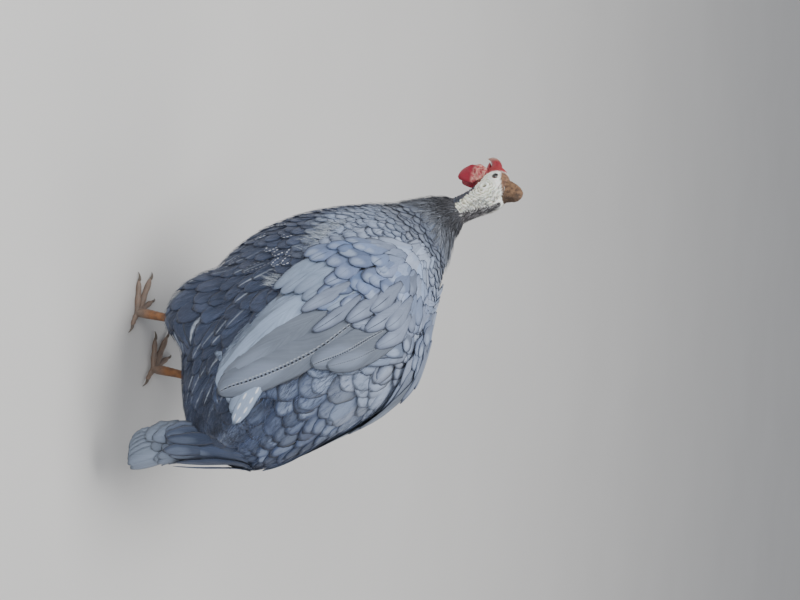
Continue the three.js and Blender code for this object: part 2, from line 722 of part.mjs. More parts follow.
const part = new THREE.Group();
part.add(bird);
part.updateMatrixWorld(true);

export default part;
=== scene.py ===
# %% [markdown]
# # A guinea fowl dressed feather by feather
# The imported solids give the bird's size and place. This lesson dresses them: one skin under the coat,
# some thousands of feathers laid over it in rows, and the bare head, horn, eyes and feet.
# Every shape is a formula on a grid of two parameters, worked out as whole numpy arrays.

import bpy
import numpy as np
from mathutils import Matrix, Vector


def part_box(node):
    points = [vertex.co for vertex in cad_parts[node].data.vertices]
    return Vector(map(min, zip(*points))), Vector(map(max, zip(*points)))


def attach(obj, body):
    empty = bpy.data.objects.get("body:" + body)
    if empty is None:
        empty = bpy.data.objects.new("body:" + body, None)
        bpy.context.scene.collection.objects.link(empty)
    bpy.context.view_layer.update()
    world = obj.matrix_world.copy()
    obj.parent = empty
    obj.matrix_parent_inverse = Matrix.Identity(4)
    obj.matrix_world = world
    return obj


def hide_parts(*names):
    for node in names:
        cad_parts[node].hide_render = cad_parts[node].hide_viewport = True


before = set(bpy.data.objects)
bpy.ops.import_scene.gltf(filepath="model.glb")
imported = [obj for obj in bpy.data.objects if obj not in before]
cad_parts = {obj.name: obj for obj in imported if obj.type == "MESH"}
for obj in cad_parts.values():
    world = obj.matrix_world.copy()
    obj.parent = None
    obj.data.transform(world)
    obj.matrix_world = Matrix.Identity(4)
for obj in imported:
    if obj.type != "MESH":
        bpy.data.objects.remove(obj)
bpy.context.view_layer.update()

# %% [markdown]
# The shapes below are written in millimetres in the bird's own frame: it faces -Y, its left is +X and
# the floor is z = 0. The left eye is a ball whose place in that frame is known, so the middle of its
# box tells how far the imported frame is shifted. Lengths become metres at the same time.

# %% Carry a point of the bird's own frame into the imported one
MM = 0.001
EYE = np.array([11.3, -227.0, 358.0])
EYE_RADIUS = 4.2
eye_low, eye_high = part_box("eye_left")
SHIFT = (np.array(eye_low) + np.array(eye_high)) / 2 - EYE * MM


def placed(points):
    """Millimetres of the bird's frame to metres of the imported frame: scale, then shift."""
    return np.asarray(points, float) * MM + SHIFT


def level(axis, millimetres):
    """One coordinate of placed(), for a colour that changes along an axis."""
    return float(millimetres * MM + SHIFT[axis])


# %% [markdown]
# A form is lofted along a line in the midplane. Each row of its table holds the line's y and z, how far
# the section rises and drops from it, and its half width. A smooth curve runs through the rows.

# %% Smooth curves and lofted forms
def unit(vectors):
    """The vectors at length 1."""
    return vectors / np.linalg.norm(vectors, axis=-1, keepdims=True)


def grids(first, second):
    """Two lists of numbers as a grid of pairs."""
    return np.meshgrid(first, second, indexing="ij")


def alike(*values):
    """The values as arrays of one shape."""
    return np.broadcast_arrays(*(np.asarray(value, float) for value in values))


def spline(table, u):
    """Uniform Catmull-Rom through the rows of table: the cubic whose slope at a row is half the step
    from the row before it to the row after it. u runs from 0 to 1."""
    rows = np.asarray(table, float)
    last = len(rows) - 1
    place = np.clip(np.asarray(u, float), 0, 1) * last
    i = np.minimum(place.astype(int), last - 1)
    t = (place - i)[..., None]
    here, following = rows[i], rows[i + 1]
    before = np.where((i > 0)[..., None], rows[np.maximum(i - 1, 0)], 2 * here - following)
    after = np.where((i + 2 <= last)[..., None], rows[np.minimum(i + 2, last)], 2 * following - here)
    square = 2 * before - 5 * here + 4 * following - after
    cube = -before + 3 * here - 3 * following + after
    return 0.5 * (2 * here + (following - before) * t + square * t**2 + cube * t**3)


def direction(table, u):
    """Unit vector along the table's line in the midplane: the difference of two near points of it."""
    step = 0.001
    inside = np.clip(u, step, 1 - step)
    ahead = spline(table, inside + step)[..., :2]
    behind = spline(table, inside - step)[..., :2]
    return unit(ahead - behind)


def closing(u, front, back):
    """How much of its section a form has at u: (1 - |1 - 2u|^p)^(1/p), p for the front or back half."""
    along = 1 - 2 * np.asarray(u, float)
    power = np.where(along > 0, front, back)
    return (1 - np.abs(along) ** power) ** (1 / power)


def off_line(x, line, forward, out):
    """A point x to the side of the midplane and out from its line, at right angles to the way on."""
    return np.stack([x, line[..., 0] - forward[..., 1] * out, line[..., 1] + forward[..., 0] * out], -1)


def section(rows, forward, v, square, closed=1.0, grow=0.0):
    """A point round the line: the superellipse |cos v|^n + |sin v|^n = 1, scaled to the rise, the drop
    and the half width."""
    cosine, sine = np.cos(v), np.sin(v)
    edge = (np.abs(cosine) ** square + np.abs(sine) ** square) ** (-1 / square)
    height = np.where(cosine > 0, rows[..., 2], rows[..., 3])
    out = (height * closed + grow) * cosine * edge
    side = (rows[..., 4] * closed + grow) * sine * edge
    offset = rows[..., 5] if rows.shape[-1] > 5 else 0
    return off_line(offset + side, rows, forward, out)


def form(table, shape, u, v, grow=0.0):
    """A closed form: section() along the spline, shrunk towards both ends by closing()."""
    square, front, back = shape
    u, v = alike(u, v)
    return section(spline(table, u), direction(table, u), v, square, closing(u, front, back), grow)


def smoothstep(low, high, value):
    """0 below low, 1 above high, 3t^2 - 2t^3 between."""
    t = np.clip((value - low) / (high - low), 0, 1)
    return t * t * (3 - 2 * t)


def falling(low, high, value):
    """1 below low, 0 above high: smoothstep turned round."""
    return 1 - smoothstep(low, high, value)


# %% [markdown]
# The tables repeat the solids' named sizes, because the render has to lie where the solids are.

# %% The solids' tables
TORSO = [
    [-174, 304, 50, 50, 44], [-134, 274, 76, 80, 67], [-90, 243, 100, 110, 84],
    [-44, 214, 120, 134, 92], [4, 190, 118, 134, 94], [50, 170, 102, 118, 90],
    [98, 154, 88, 92, 81], [150, 138, 84, 66, 65],
]
TORSO_SHAPE = (2.12, 2.6, 3.0)
HEAD_TO_NECK = [
    [-249, 350.5, 2, 2, 2], [-247.5, 350.8, 7.5, 6, 5.5], [-243, 351.5, 11, 9.5, 8.6],
    [-236, 353, 14.5, 12.5, 11], [-227, 354.5, 17.6, 15.5, 13.2], [-217, 354.5, 20, 18, 14.8],
    [-208, 350, 20.5, 18.5, 15], [-200.5, 342, 17, 17, 14.2], [-193, 331.5, 15.2, 16, 13.2],
    [-185, 320, 15, 16.5, 13.4], [-177, 309, 18, 19, 17], [-167, 298, 27, 27, 26],
]
TORSO_STATIONS = np.array([0.1, 0.17, 0.25, 0.34, 0.44, 0.54, 0.64, 0.74, 0.83, 0.91, 0.96, 0.988, 1.0])
COAT = 6.5  # how deep the body's coat is
THIGH_PLACE, THIGH_RADII = np.array([50.0, 8.0, 104.0]), np.array([31.0, 56.0, 53.0])
RIGHT_THIGH_BACK = 10.0  # the right leg stands further back
THIGH_BLEND = 5.0  # how softly a thigh grows out of the trunk


# %% [markdown]
# ## The skin
# A bird's skin is one piece from the bill to the tail, so here it is one surface: u runs from the bill
# back over the head, down the neck and along the body, and v goes round from the back or nape. The
# thighs swell out of it. The same function, lifted, later carries every feather, and (u, v) is the
# skin's unwrap. The alternative, joining separate lumps by remeshing, would leave no such unwrap.

# %% The skin as one surface
def body_rows():
    """Rows of the whole skin: the head and neck's own, then the torso's with its closing worked in."""
    rows = spline(TORSO, TORSO_STATIONS)
    rows[:, 2:5] *= closing(TORSO_STATIONS, *TORSO_SHAPE[1:])[:, None]
    rows[:, 2:5] = np.maximum(rows[:, 2:5] - COAT, 0.4)
    return np.vstack([HEAD_TO_NECK, rows])


BODY = body_rows()
BODY_SQUARE = 2.1
NECK_END = (len(HEAD_TO_NECK) - 1) / (len(BODY) - 1)


STATION_RANKS = (np.arange(len(TORSO_STATIONS)) + len(HEAD_TO_NECK)) / (len(BODY) - 1)


def skin_u(place):
    """Where a place along the torso lies along the whole skin: interpolated from the stations."""
    return np.interp(place, TORSO_STATIONS, STATION_RANKS)


def torso_u(u):
    """The other way from skin_u: the place along the torso, from the place along the whole skin."""
    return np.interp(u, STATION_RANKS, TORSO_STATIONS)


def side_of(v):
    """1 on the bird's left side, -1 on its right."""
    return np.where(np.sin(v) >= 0, 1.0, -1.0)


def skin_unwrap(u, v):
    """The skin's own unwrap: u along it, and v round it as a share of a turn."""
    return np.stack([np.clip(u, 0, 1), (v / (2 * np.pi)) % 1.0], -1)


def spokes(points, u):
    """The skin's middle line at u, unit vectors from it out to the points, and the distances."""
    rows = spline(BODY, u)
    middle = np.stack([np.zeros_like(u), rows[..., 0], rows[..., 1]], -1)
    ray = points - middle
    reach = np.linalg.norm(ray, axis=-1) + 1e-9
    return middle, ray / reach[..., None], reach


def skin_at(u, v, lift=0.0):
    """The skin, or a surface lift millimetres off it. Each thigh is an ellipsoid, and a point of the
    body moves out along its ray from the middle line to the ellipsoid, where that is further."""
    u, v = alike(u, v)
    point = section(spline(BODY, u), direction(BODY, u), v, BODY_SQUARE, 1.0, lift)
    middle, ray, reach = spokes(point, u)
    side = side_of(v)
    centre = np.stack([side * THIGH_PLACE[0], THIGH_PLACE[1] + RIGHT_THIGH_BACK * (side < 0),
                       np.full_like(u, THIGH_PLACE[2])], -1)
    radii = THIGH_RADII - COAT + np.asarray(lift, float)[..., None]
    a = ((ray / radii) ** 2).sum(-1)
    b = (ray * (middle - centre) / radii**2).sum(-1)
    c = (((middle - centre) / radii) ** 2).sum(-1) - 1
    inside = b * b - a * c
    far = np.where(inside > 0, (-b + np.sqrt(np.maximum(inside, 0))) / a, 0)
    bulge = THIGH_BLEND * np.logaddexp(0, (far - reach) / THIGH_BLEND)
    bulge = bulge * smoothstep(0, 0.12, inside / (b * b + 1e-9))
    return point + ray * np.where(far > 0, bulge, 0)[..., None]


# %% [markdown]
# ## Meshes from arrays
# A grid of points becomes a mesh with one call. The unwrap goes into a UV map named OFBake.

# %% Make a mesh from arrays
def linked(name, data):
    """A new object with this data, in the scene."""
    thing = bpy.data.objects.new(name, data)
    bpy.context.scene.collection.objects.link(thing)
    return thing


def mesh_piece(name, points, faces, uv, colours=None):
    """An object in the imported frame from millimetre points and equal-sided faces. uv maps are
    per corner, from per-point values. colours are per-point float colours."""
    mesh = bpy.data.meshes.new(name)
    faces = np.asarray(faces)
    mesh.vertices.add(len(points))
    mesh.vertices.foreach_set("co", placed(points).ravel())
    mesh.loops.add(faces.size)
    mesh.loops.foreach_set("vertex_index", faces.ravel().astype(np.int32))
    mesh.polygons.add(len(faces))
    mesh.polygons.foreach_set("loop_start", np.arange(0, faces.size, faces.shape[1], dtype=np.int32))
    mesh.update(calc_edges=True)
    mesh.validate()
    mesh.polygons.foreach_set("use_smooth", np.ones(len(mesh.polygons), bool))
    corner = np.empty(len(mesh.loops), np.int32)
    mesh.loops.foreach_get("vertex_index", corner)
    for key, values in uv.items():
        layer = mesh.uv_layers.new(name=key)
        layer.data.foreach_set("uv", np.asarray(values, np.float32)[corner].ravel())
    for key, values in (colours or {}).items():
        layer = mesh.attributes.new(key, "FLOAT_COLOR", "POINT")
        layer.data.foreach_set("color", np.asarray(values, np.float32).ravel())
    return linked(name, mesh)


def ring_faces(rings, around):
    """Quads of a grid that closes round its second parameter, facing out of a loft along -Y to +Y."""
    i, j = grids(np.arange(rings - 1), np.arange(around))
    k = (j + 1) % around
    quads = np.stack([i * around + j, i * around + k, (i + 1) * around + k, (i + 1) * around + j], -1)
    return quads.reshape(-1, 4)


def facing_out(piece):
    """Turns a closed mesh's faces outwards, for a shape whose own formula may turn either way."""
    mesh = piece.data
    mesh.calc_loop_triangles()
    corners = np.empty(len(mesh.loop_triangles) * 3, np.int32)
    mesh.loop_triangles.foreach_get("vertices", corners)
    co = np.empty(len(mesh.vertices) * 3)
    mesh.vertices.foreach_get("co", co)
    a, b, c = co.reshape(-1, 3)[corners.reshape(-1, 3)].transpose(1, 0, 2)
    if (a * np.cross(b, c)).sum() < 0:
        mesh.flip_normals()
    return piece


def lofted(name, surface, rings, around, spacing="ends"):
    """A closed piece from surface(u, v): rings along u, closer at the ends by a cosine, poles as rings
    of no size."""
    t = np.linspace(0, 1, rings)
    u = (1 - np.cos(np.pi * t)) / 2 if spacing == "ends" else t
    grid_u, grid_v = grids(u, np.linspace(0, 2 * np.pi, around, endpoint=False))
    points = surface(grid_u, grid_v).reshape(-1, 3)
    inner = slice(around, -around)
    first, last = points[:around].mean(0), points[-around:].mean(0)
    count = len(points[inner])
    quads = ring_faces(rings - 2, around)
    j = np.arange(around)
    k = (j + 1) % around
    tail = (rings - 3) * around
    head_fan = np.stack([np.full(around, count), k, j], -1)
    tail_fan = np.stack([np.full(around, count + 1), tail + j, tail + k], -1)
    triangles = np.vstack([quads[:, [0, 1, 2]], quads[:, [0, 2, 3]], head_fan, tail_fan])
    unwrap = np.stack([grid_u, grid_v / (2 * np.pi)], -1).reshape(-1, 2)[inner]
    unwrap = np.vstack([unwrap, [[0, 0.5], [1, 0.5]]])
    print(f"{name}: {len(triangles)} triangles")
    points = np.vstack([points[inner], first, last])
    return facing_out(mesh_piece(name, points, triangles, {"OFBake": unwrap}))


def dressed(piece, paint, slot, *nodes):
    """Gives a piece its material, its body and the solids that it stands for. slot is not used."""
    piece.data.materials.append(paint)
    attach(piece, "root")
    if nodes:
        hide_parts(*nodes)
    return piece


# %% [markdown]
# ## Shader maths as Python
# A socket is wrapped so that + - * / and ** add Math nodes. Colours are blended by Mix nodes.

# %% The wrapper and its paint
NOISE_ROUGHNESS = 0.55


def operator(operation):
    """A method that adds a Math node of this kind, for one of Python's operators."""
    return lambda value, other: value.math(operation, other)


class Value:
    """A shader socket that Python's operators work on."""

    def __init__(self, paint, socket):
        self.paint, self.socket = paint, socket

    def math(self, operation, *others):
        return self.paint.node("ShaderNodeMath", {"operation": operation}, self, *others)

    def __rsub__(self, other):
        return self.paint.node("ShaderNodeMath", {"operation": "SUBTRACT"}, other, self)

    __add__ = __radd__ = operator("ADD")
    __mul__ = __rmul__ = operator("MULTIPLY")
    __sub__ = operator("SUBTRACT")
    __truediv__ = operator("DIVIDE")
    __pow__ = operator("POWER")


class Paint:
    """A Principled material and the helpers that feed it."""

    def __init__(self, name, **constants):
        self.material = bpy.data.materials.new(name)
        self.material.use_nodes = True
        self.tree = self.material.node_tree
        self.shader = self.tree.nodes["Principled BSDF"]
        for key, value in constants.items():
            self.shader.inputs[key.replace("_", " ")].default_value = value

    def node(self, kind, settings, *values, output=0, **named):
        node = self.tree.nodes.new(kind)
        for key, value in settings.items():
            setattr(node, key, value)
        for key, value in [*enumerate(values), *named.items()]:
            target = node.inputs[key.replace("_", " ") if isinstance(key, str) else key]
            if isinstance(value, Value):
                self.tree.links.new(value.socket, target)
            elif value is not None:
                target.default_value = value
        return Value(self, node.outputs[output])

    def blend(self, factor, first, second):
        """first where factor is 0, second where it is 1; both are colours."""
        node = self.tree.nodes.new("ShaderNodeMix")
        node.data_type = "RGBA"
        for index, value in ((0, factor), (6, first), (7, second)):
            if isinstance(value, Value):
                self.tree.links.new(value.socket, node.inputs[index])
            else:
                node.inputs[index].default_value = (*value, 1) if index else value
        return Value(self, node.outputs[2])

    def shade(self, colour, amount):
        """The colour times an amount."""
        return self.node("ShaderNodeVectorMath", {"operation": "SCALE"}, colour, Scale=amount)

    def step(self, value, low, high):
        """0 below low to 1 above high, smoothly."""
        return self.node("ShaderNodeMapRange", {"interpolation_type": "SMOOTHSTEP"}, value, low, high)

    def fall(self, value, low, high):
        """1 below low to 0 above high, smoothly."""
        return 1 - self.step(value, low, high)

    def dab(self, colour, added, value, low, high, strength=1.0):
        """The colour with another laid over it where value rises from low to high."""
        return self.blend(self.step(value, low, high) * strength, colour, added)

    def place(self):
        """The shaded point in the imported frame, in metres."""
        return self.node("ShaderNodeTexCoord", {}, output=3)

    def noise(self, scale, detail=3.0, vector=None):
        return self.node("ShaderNodeTexNoise", {}, Vector=vector or self.place(), Scale=scale,
                         Detail=detail, Roughness=NOISE_ROUGHNESS)

    def cells(self, scale):
        return self.node("ShaderNodeTexVoronoi", {}, Vector=self.place(), Scale=scale)

    def attribute(self, name, output=0):
        return self.node("ShaderNodeAttribute", {"attribute_name": name}, output=output)

    def split(self, vector):
        node = self.tree.nodes.new("ShaderNodeSeparateXYZ")
        self.tree.links.new(vector.socket, node.inputs[0])
        return [Value(self, out) for out in node.outputs]

    def coordinate(self, axis):
        """One coordinate of that place: x, y or z for axis 0, 1 or 2."""
        return self.split(self.place())[axis]

    def unwrap(self, name):
        return self.node("ShaderNodeUVMap", {"uv_map": name})

    def bump(self, height, distance, strength=1.0):
        normal = self.node("ShaderNodeBump", {}, Strength=strength, Distance=distance, Height=height)
        self.tree.links.new(normal.socket, self.shader.inputs["Normal"])

    def set(self, **sockets):
        for key, value in sockets.items():
            self.tree.links.new(value.socket, self.shader.inputs[key.replace("_", " ")])
        return self.material


# %% [markdown]
# ## Plumage material
# One recipe serves every feather, because what differs is carried by the feathers themselves. Each
# point stores its feather's ground colour with the strength of its dark shaft, and how strong four marks
# are: the dark fringe, the pale streak, the small white dots and the large soft spots. The marks are
# drawn in the feather's own coordinates, a along it and c across it.

# %% Plumage material
SPOT, FRINGE, STREAK = (0.33, 0.4, 0.54), (0.07, 0.085, 0.14), (0.5, 0.56, 0.65)
DOT, BEAD, SHAFT = (0.75, 0.78, 0.84), (0.55, 0.58, 0.62), (0.03, 0.035, 0.05)
BEADED_SHAFT = (0.02, 0.022, 0.03)
BARB_SLANT, BARB_COUNT, BEAD_COUNT, DOT_COUNT = 0.35, 26.0, 40.0, 9.0


def vane_marks(paint, beaded):
    """Colour of a vane: its ground, then soft spot, fringe, pale streak, dots and dark shaft, each by
    its own strength. The barbs leave the shaft slanting forward, so a - 0.35 |c| counts them. The
    fringe starts where sqrt(0.9 c^2 + (1.75 (a - 0.45))^2) nears 1, which is the outline."""
    a, across, _ = paint.split(paint.unwrap("Vane"))
    c = (across - 0.5).math("ABSOLUTE") * 2
    fringe, streak, dots = paint.split(paint.attribute("marks", 1))
    spot, shaft = paint.attribute("marks", 3), paint.attribute("plume", 3)
    barb = (a - c * BARB_SLANT) * BARB_COUNT
    barb_place = paint.node("ShaderNodeCombineXYZ", {}, c * 1.2, barb, paint.coordinate(0) * 70.0)
    barbs, mottle = paint.noise(1.0, 3.0, vector=barb_place), paint.noise(38.0, 4.0)
    colour = paint.shade(paint.attribute("plume", 0), barbs * 0.55 + mottle * 0.5 + 0.47)
    spot_edge = ((c - 0.1) * 1.1) ** 2 + ((a - 0.78) * 2.6) ** 2 + (mottle - 0.5) * 0.5
    colour = paint.blend(paint.fall(spot_edge, 0.0, 0.5) * spot, colour, SPOT)
    edge = (c * c * 0.9 + ((a - 0.45) * 1.75) ** 2).math("SQRT") + (barbs - 0.5) * 0.4
    colour = paint.dab(colour, FRINGE, edge, 0.5, 1.1, fringe)
    line = paint.fall(c + (barbs - 0.5) * 0.14, 0.02, 0.2) * paint.step(a, 0.3, 0.6)
    colour = paint.blend(line * paint.fall(a, 0.9, 1.0) * streak, colour, STREAK)
    row = ((a * DOT_COUNT).math("FRACT") - 0.5) * 0.9
    dot_edge = row * row + ((c - 0.45) * 2.6) ** 2
    colour = paint.blend(paint.fall(dot_edge, 0.04, 0.12) * dots, colour, DOT)
    if beaded:
        bead = ((a * BEAD_COUNT + barbs * 1.5).math("FRACT") - 0.5).math("ABSOLUTE")
        pale = paint.fall((c - 0.09).math("ABSOLUTE") + bead * 0.1, 0.03, 0.055) * shaft
        colour = paint.blend(pale * 0.4, colour, BEAD)
        colour = paint.blend(paint.fall(c + bead * 0.16, 0.05, 0.085) * shaft, colour, BEADED_SHAFT)
    else:
        dark = paint.fall(c + (barbs - 0.5) * 0.06, 0.01, 0.07) * paint.step(a, 0.35, 0.55)
        colour = paint.blend(dark * shaft, colour, SHAFT)
    paint.bump(barbs * 1.6 + paint.fall(c, 0.0, 0.09) * 1.1, 0.00035, 0.8)
    return colour


def plumage(name, roughness, sheen, beaded=False):
    paint = Paint(name, Roughness=roughness, Sheen_Weight=sheen, Sheen_Roughness=0.5,
                  Specular_IOR_Level=0.25)
    return paint.set(Base_Color=vane_marks(paint, beaded))


BODY_PLUMAGE = plumage("body_plumage", 0.85, 0.15)
WING_PLUMAGE = plumage("wing_plumage", 0.66, 0.08)
TERTIAL_PLUMAGE = plumage("tertial_plumage", 0.66, 0.08, beaded=True)
TAIL_PLUMAGE = plumage("tail_plumage", 0.66, 0.08)

# %% [markdown]
# ## Feathers
# A body feather is a thin closed pillow: a top and a bottom layer that share their rim. Its outline
# widens from the quill and rounds off at the tip. Rows of roots are set along a surface, and each
# feather is laid through the surface's own function, lifting a little from root to tip, so that it
# bends with the body and slides over the row behind it, as roof tiles do.


# %% One feather's outline and layers
UNWRAP_PATCH = 0.003  # how much of the skin's unwrap one feather takes up
VANE_HALF = 0.16  # half a vane's thickness
FULL_TURN = 6.28  # for random phases


def vane_template(along, across, roundness):
    """Points (a, c) of a vane and its faces. c is scaled by a width: it swells from the quill, and ends
    as sqrt(1 - e^2) over the last roundness of the length. Returns a, c, width, layer sign and faces."""
    a, c = grids(np.linspace(0, 1, along), np.linspace(-1, 1, across))
    end = np.clip((a - 1 + roundness) / roundness, 0, 1)
    width = np.minimum(1, 0.3 + 1.5 * a) * np.sqrt(1 - 0.985 * end**2)
    rim = np.zeros_like(a, bool)
    rim[[0, -1]] = True
    rim[:, [0, -1]] = True
    top = np.arange(along * across).reshape(along, across)
    bottom = top.copy()
    bottom[~rim] = along * across + np.arange((~rim).sum())
    quads = [np.stack([grid[:-1, :-1], grid[1:, :-1], grid[1:, 1:], grid[:-1, 1:]], -1).reshape(-1, 4)
             for grid in (top, bottom)]
    a, c, width = (np.concatenate([grid.ravel(), grid[~rim]]) for grid in (a, c, width))
    sign = np.concatenate([np.where(rim, 0, 1).ravel(), -np.ones((~rim).sum())])
    return a, c, width, sign, np.vstack([quads[0], quads[1][:, ::-1]])


def tangents(surface, u, v):
    """Lengths of the surface's two partial derivatives, in millimetres per unit of u and of v."""
    step = 1e-3
    here = surface(u, v, 0.0)
    along = np.linalg.norm(surface(u + step, v, 0.0) - here, axis=-1) / step
    round_it = np.linalg.norm(surface(u, v + step, 0.0) - here, axis=-1) / step
    return np.maximum(along, 1e-3), np.maximum(round_it, 1e-3)


def copies(faces, count, size):
    """The faces of count equal parts with size points each."""
    return (faces[None] + (np.arange(count) * size)[:, None, None]).reshape(-1, 4)


def patch(root, a, c):
    """A feather's small patch of the skin's unwrap, round the place of its root."""
    return np.clip(root + UNWRAP_PATCH * np.stack([a - 0.5, c / 2], -1), 0, 1)


def vane_uv(a, c):
    """A vane's own coordinates: 0 to 1 along it and across it."""
    return np.stack([a, c / 2 + 0.5], -1)


def lay_feathers(name, surface, unwrap, roots, template, rng):
    """One mesh of many vanes. roots is a dict of arrays: u, v, length, width, lean (radians turned from
    +u towards +v), lift (at the tip), sink (at the root), camber, tilt, plume (rgb and shaft) and marks.
    A vane point at (a, c) lies a * length ahead of its root and c * width / 2 beside it."""
    a, c, w, sign, faces = template
    count, size = len(roots["u"]), len(a)
    column = {key: np.broadcast_to(np.asarray(value, float), (count,))[:, None]
              for key, value in roots.items() if key not in ("plume", "marks")}
    ruffle = 1 + 0.05 * np.sin(a * 19 + rng.uniform(0, FULL_TURN, (count, 1)) + 3 * c)
    x = column["length"] * a
    y = column["width"] / 2 * (c * w) * ruffle
    per_u, per_v = tangents(surface, column["u"], column["v"])
    cosine, sine = np.cos(column["lean"]), np.sin(column["lean"])
    u = column["u"] + (x * cosine - y * sine) / per_u
    v = column["v"] + (x * sine + y * cosine) / per_v
    rise = -column["sink"] + (column["lift"] + column["sink"]) * a**0.8
    crown = column["camber"] * (1 - c**2) * np.minimum(1, 1.3 - a)
    points = surface(u, v, rise + crown + column["tilt"] * c + VANE_HALF * sign)
    uv = {"OFBake": patch(unwrap(column["u"], column["v"]), a, c).reshape(-1, 2),
          "Vane": np.tile(vane_uv(a, c), (count, 1))}
    colours = {key: np.repeat(roots[key], size, axis=0) for key in ("plume", "marks")}
    all_faces = copies(faces, count, size)
    print(f"{name}: {count} vanes, {len(all_faces) * 2} triangles")
    return mesh_piece(name, points.reshape(-1, 3), all_faces, uv, colours)


# %% [markdown]
# ## Wings
# The folded wing is a second surface over the flank. Its coordinate s runs from the shoulder to the
# tip and t from the upper edge to the lower one. Tiers of coverts lie over the quills of the long
# secondaries and tertials, which reach the tip, and the primaries' tips show behind them.

# %% The wing's surface
WING_BULGE, WING_RIM, WING_FRONT, WING_BACK = 8.0, 1.6, 0.18, 0.905
WING_UPPER_EDGE = np.array([[26], [13], [10], [11], [22], [36], [46], [53], [67.0]])
WING_LOWER_EDGE = np.array([[52], [73], [86], [89.5], [89], [87.5], [86], [86], [88.0]])


def on_torso(u, v, lift=0.0):
    """The trunk's solid, lift millimetres off it."""
    return form(TORSO, TORSO_SHAPE, np.clip(u, 0.01, 0.99), v, lift)


def wing_edges(s):
    """Degrees round the trunk of the wing's upper and lower edges."""
    return spline(WING_UPPER_EDGE, s)[..., 0], spline(WING_LOWER_EDGE, s)[..., 0]


def trunk_place(s, t):
    """Where the trunk lies under a place of the wing: u along it and radians round it. t goes from edge
    to edge, and straight on beyond them."""
    upper, lower = wing_edges(s)
    return WING_FRONT + (WING_BACK - WING_FRONT) * s, np.radians(upper + (lower - upper) * t)


def wing_place(u, angle):
    """The other way: a place (s, t) of the wing from u along the trunk and radians round it."""
    s = (u - WING_FRONT) / (WING_BACK - WING_FRONT)
    upper, lower = wing_edges(s)
    return s, (np.degrees(angle) - upper) / (lower - upper)


def on_wing(s, t, lift=0.0):
    """The wing: the trunk's surface under it, plus a bulge that fades at the wing's edges."""
    s, t, lift = alike(s, t, lift)
    inside = np.sin(np.pi * np.clip(t, 0, 1)) ** 0.6
    fade = np.minimum(1, np.minimum(np.clip(s, 0, 1) / 0.2, np.clip(1.05 - s, 0, 2) / 0.45))
    fade = inside * fade * (0.35 + 0.65 * np.clip(t / 0.45, 0, 1))
    return on_torso(*trunk_place(s, t), WING_RIM + (WING_BULGE - WING_RIM) * fade + lift)


def wing_shell(u, v, lift=0.0):
    """The wing's surface by places on the trunk, u along it and v in radians round it."""
    return on_wing(*wing_place(u, v), lift)


def mirror(surface):
    """The same surface on the bird's right side: x changes its sign."""
    return lambda s, t, lift=0.0: surface(s, t, lift) * np.array([-1.0, 1.0, 1.0])


# %% [markdown]
# ## Where the feathers of the body grow
# Rows follow the skin from the neck to the tail, each shifted half a feather from the row before.
# The spacing grows from the neck to the back, and the colours change by region: slate with dots on
# the breast, pale tiles with dark fringes on the mantle, streaks on the flank and thigh, and soft
# pale blotches on the rump.

# %% Roots of the body's feathers
def staggered_rows(surface, u_range, v_range, spacing, rng):
    """Roots in rows: along u a row every spacing(u) millimetres, round v one every spacing, offset by
    half in every other row, with a little scatter."""
    us, vs = [], []
    u = u_range[0]
    row = 0
    while u < u_range[1]:
        gap_u, gap_v = spacing(u)
        ring = np.linspace(v_range[0], v_range[1], 181)
        steps = np.linalg.norm(np.diff(surface(np.full(181, u), ring, 0.0), axis=0), axis=1)
        walked = np.concatenate([[0], np.cumsum(steps)])
        count = max(1, int(round(walked[-1] / gap_v)))
        places = (np.arange(count) + (0.25 if row % 2 else 0.75)) / count
        us.append(np.full(count, u))
        vs.append(np.interp(places * walked[-1], walked, ring))
        per_u, _ = tangents(surface, np.array([u]), np.array([np.pi / 2]))
        u += gap_u / per_u[0]
        row += 1
    u, v = np.concatenate(us), np.concatenate(vs)
    per_u, per_v = tangents(surface, u, v)
    gap_u, gap_v = spacing(u)
    u = u + rng.normal(0, 0.13, len(u)) * gap_u / per_u
    v = v + rng.normal(0, 0.1, len(v)) * gap_v / per_v
    return u, v


def back_spacing(u):
    """Millimetres between rows and between feathers of a row on the back: small at the neck."""
    size = 6.0 + 7.0 * smoothstep(0.08, 0.34, torso_u(u)) + 2.5 * smoothstep(0.4, 0.55, torso_u(u))
    return size, size * 1.2


def belly_spacing(u):
    """The same for breast, flanks and belly, where the rows behind the breast stand further apart."""
    size = 7.0 + 4.0 * smoothstep(0.1, 0.42, torso_u(u))
    return size * (1 + 0.4 * smoothstep(0.38, 0.52, torso_u(u))), size * 1.2


MANTLE = np.array([0.31, 0.37, 0.49])
SLATE = np.array([0.056, 0.073, 0.125])
RUMP = np.array([0.05, 0.07, 0.132])
COLLAR = np.array([0.07, 0.078, 0.1])
TINT = np.array([1.0, 0.2, -0.6])  # single feathers differ along this line, from lilac to green


def turned(v):
    """How far round from the back a place is, 0 to pi on either side."""
    return np.abs((np.asarray(v) + np.pi) % (2 * np.pi) - np.pi)


def patches(points):
    """Slow clouds over the bird, about 0: products of sines with wavelengths of a few centimetres."""
    x, y, z = np.moveaxis(points, -1, 0)
    broad = np.sin(y * 0.13 + z * 0.09 + 1) * np.sin(x * 0.11 - z * 0.12)
    return broad + 0.5 * np.sin(y * 0.27 - x * 0.21 + z * 0.2)


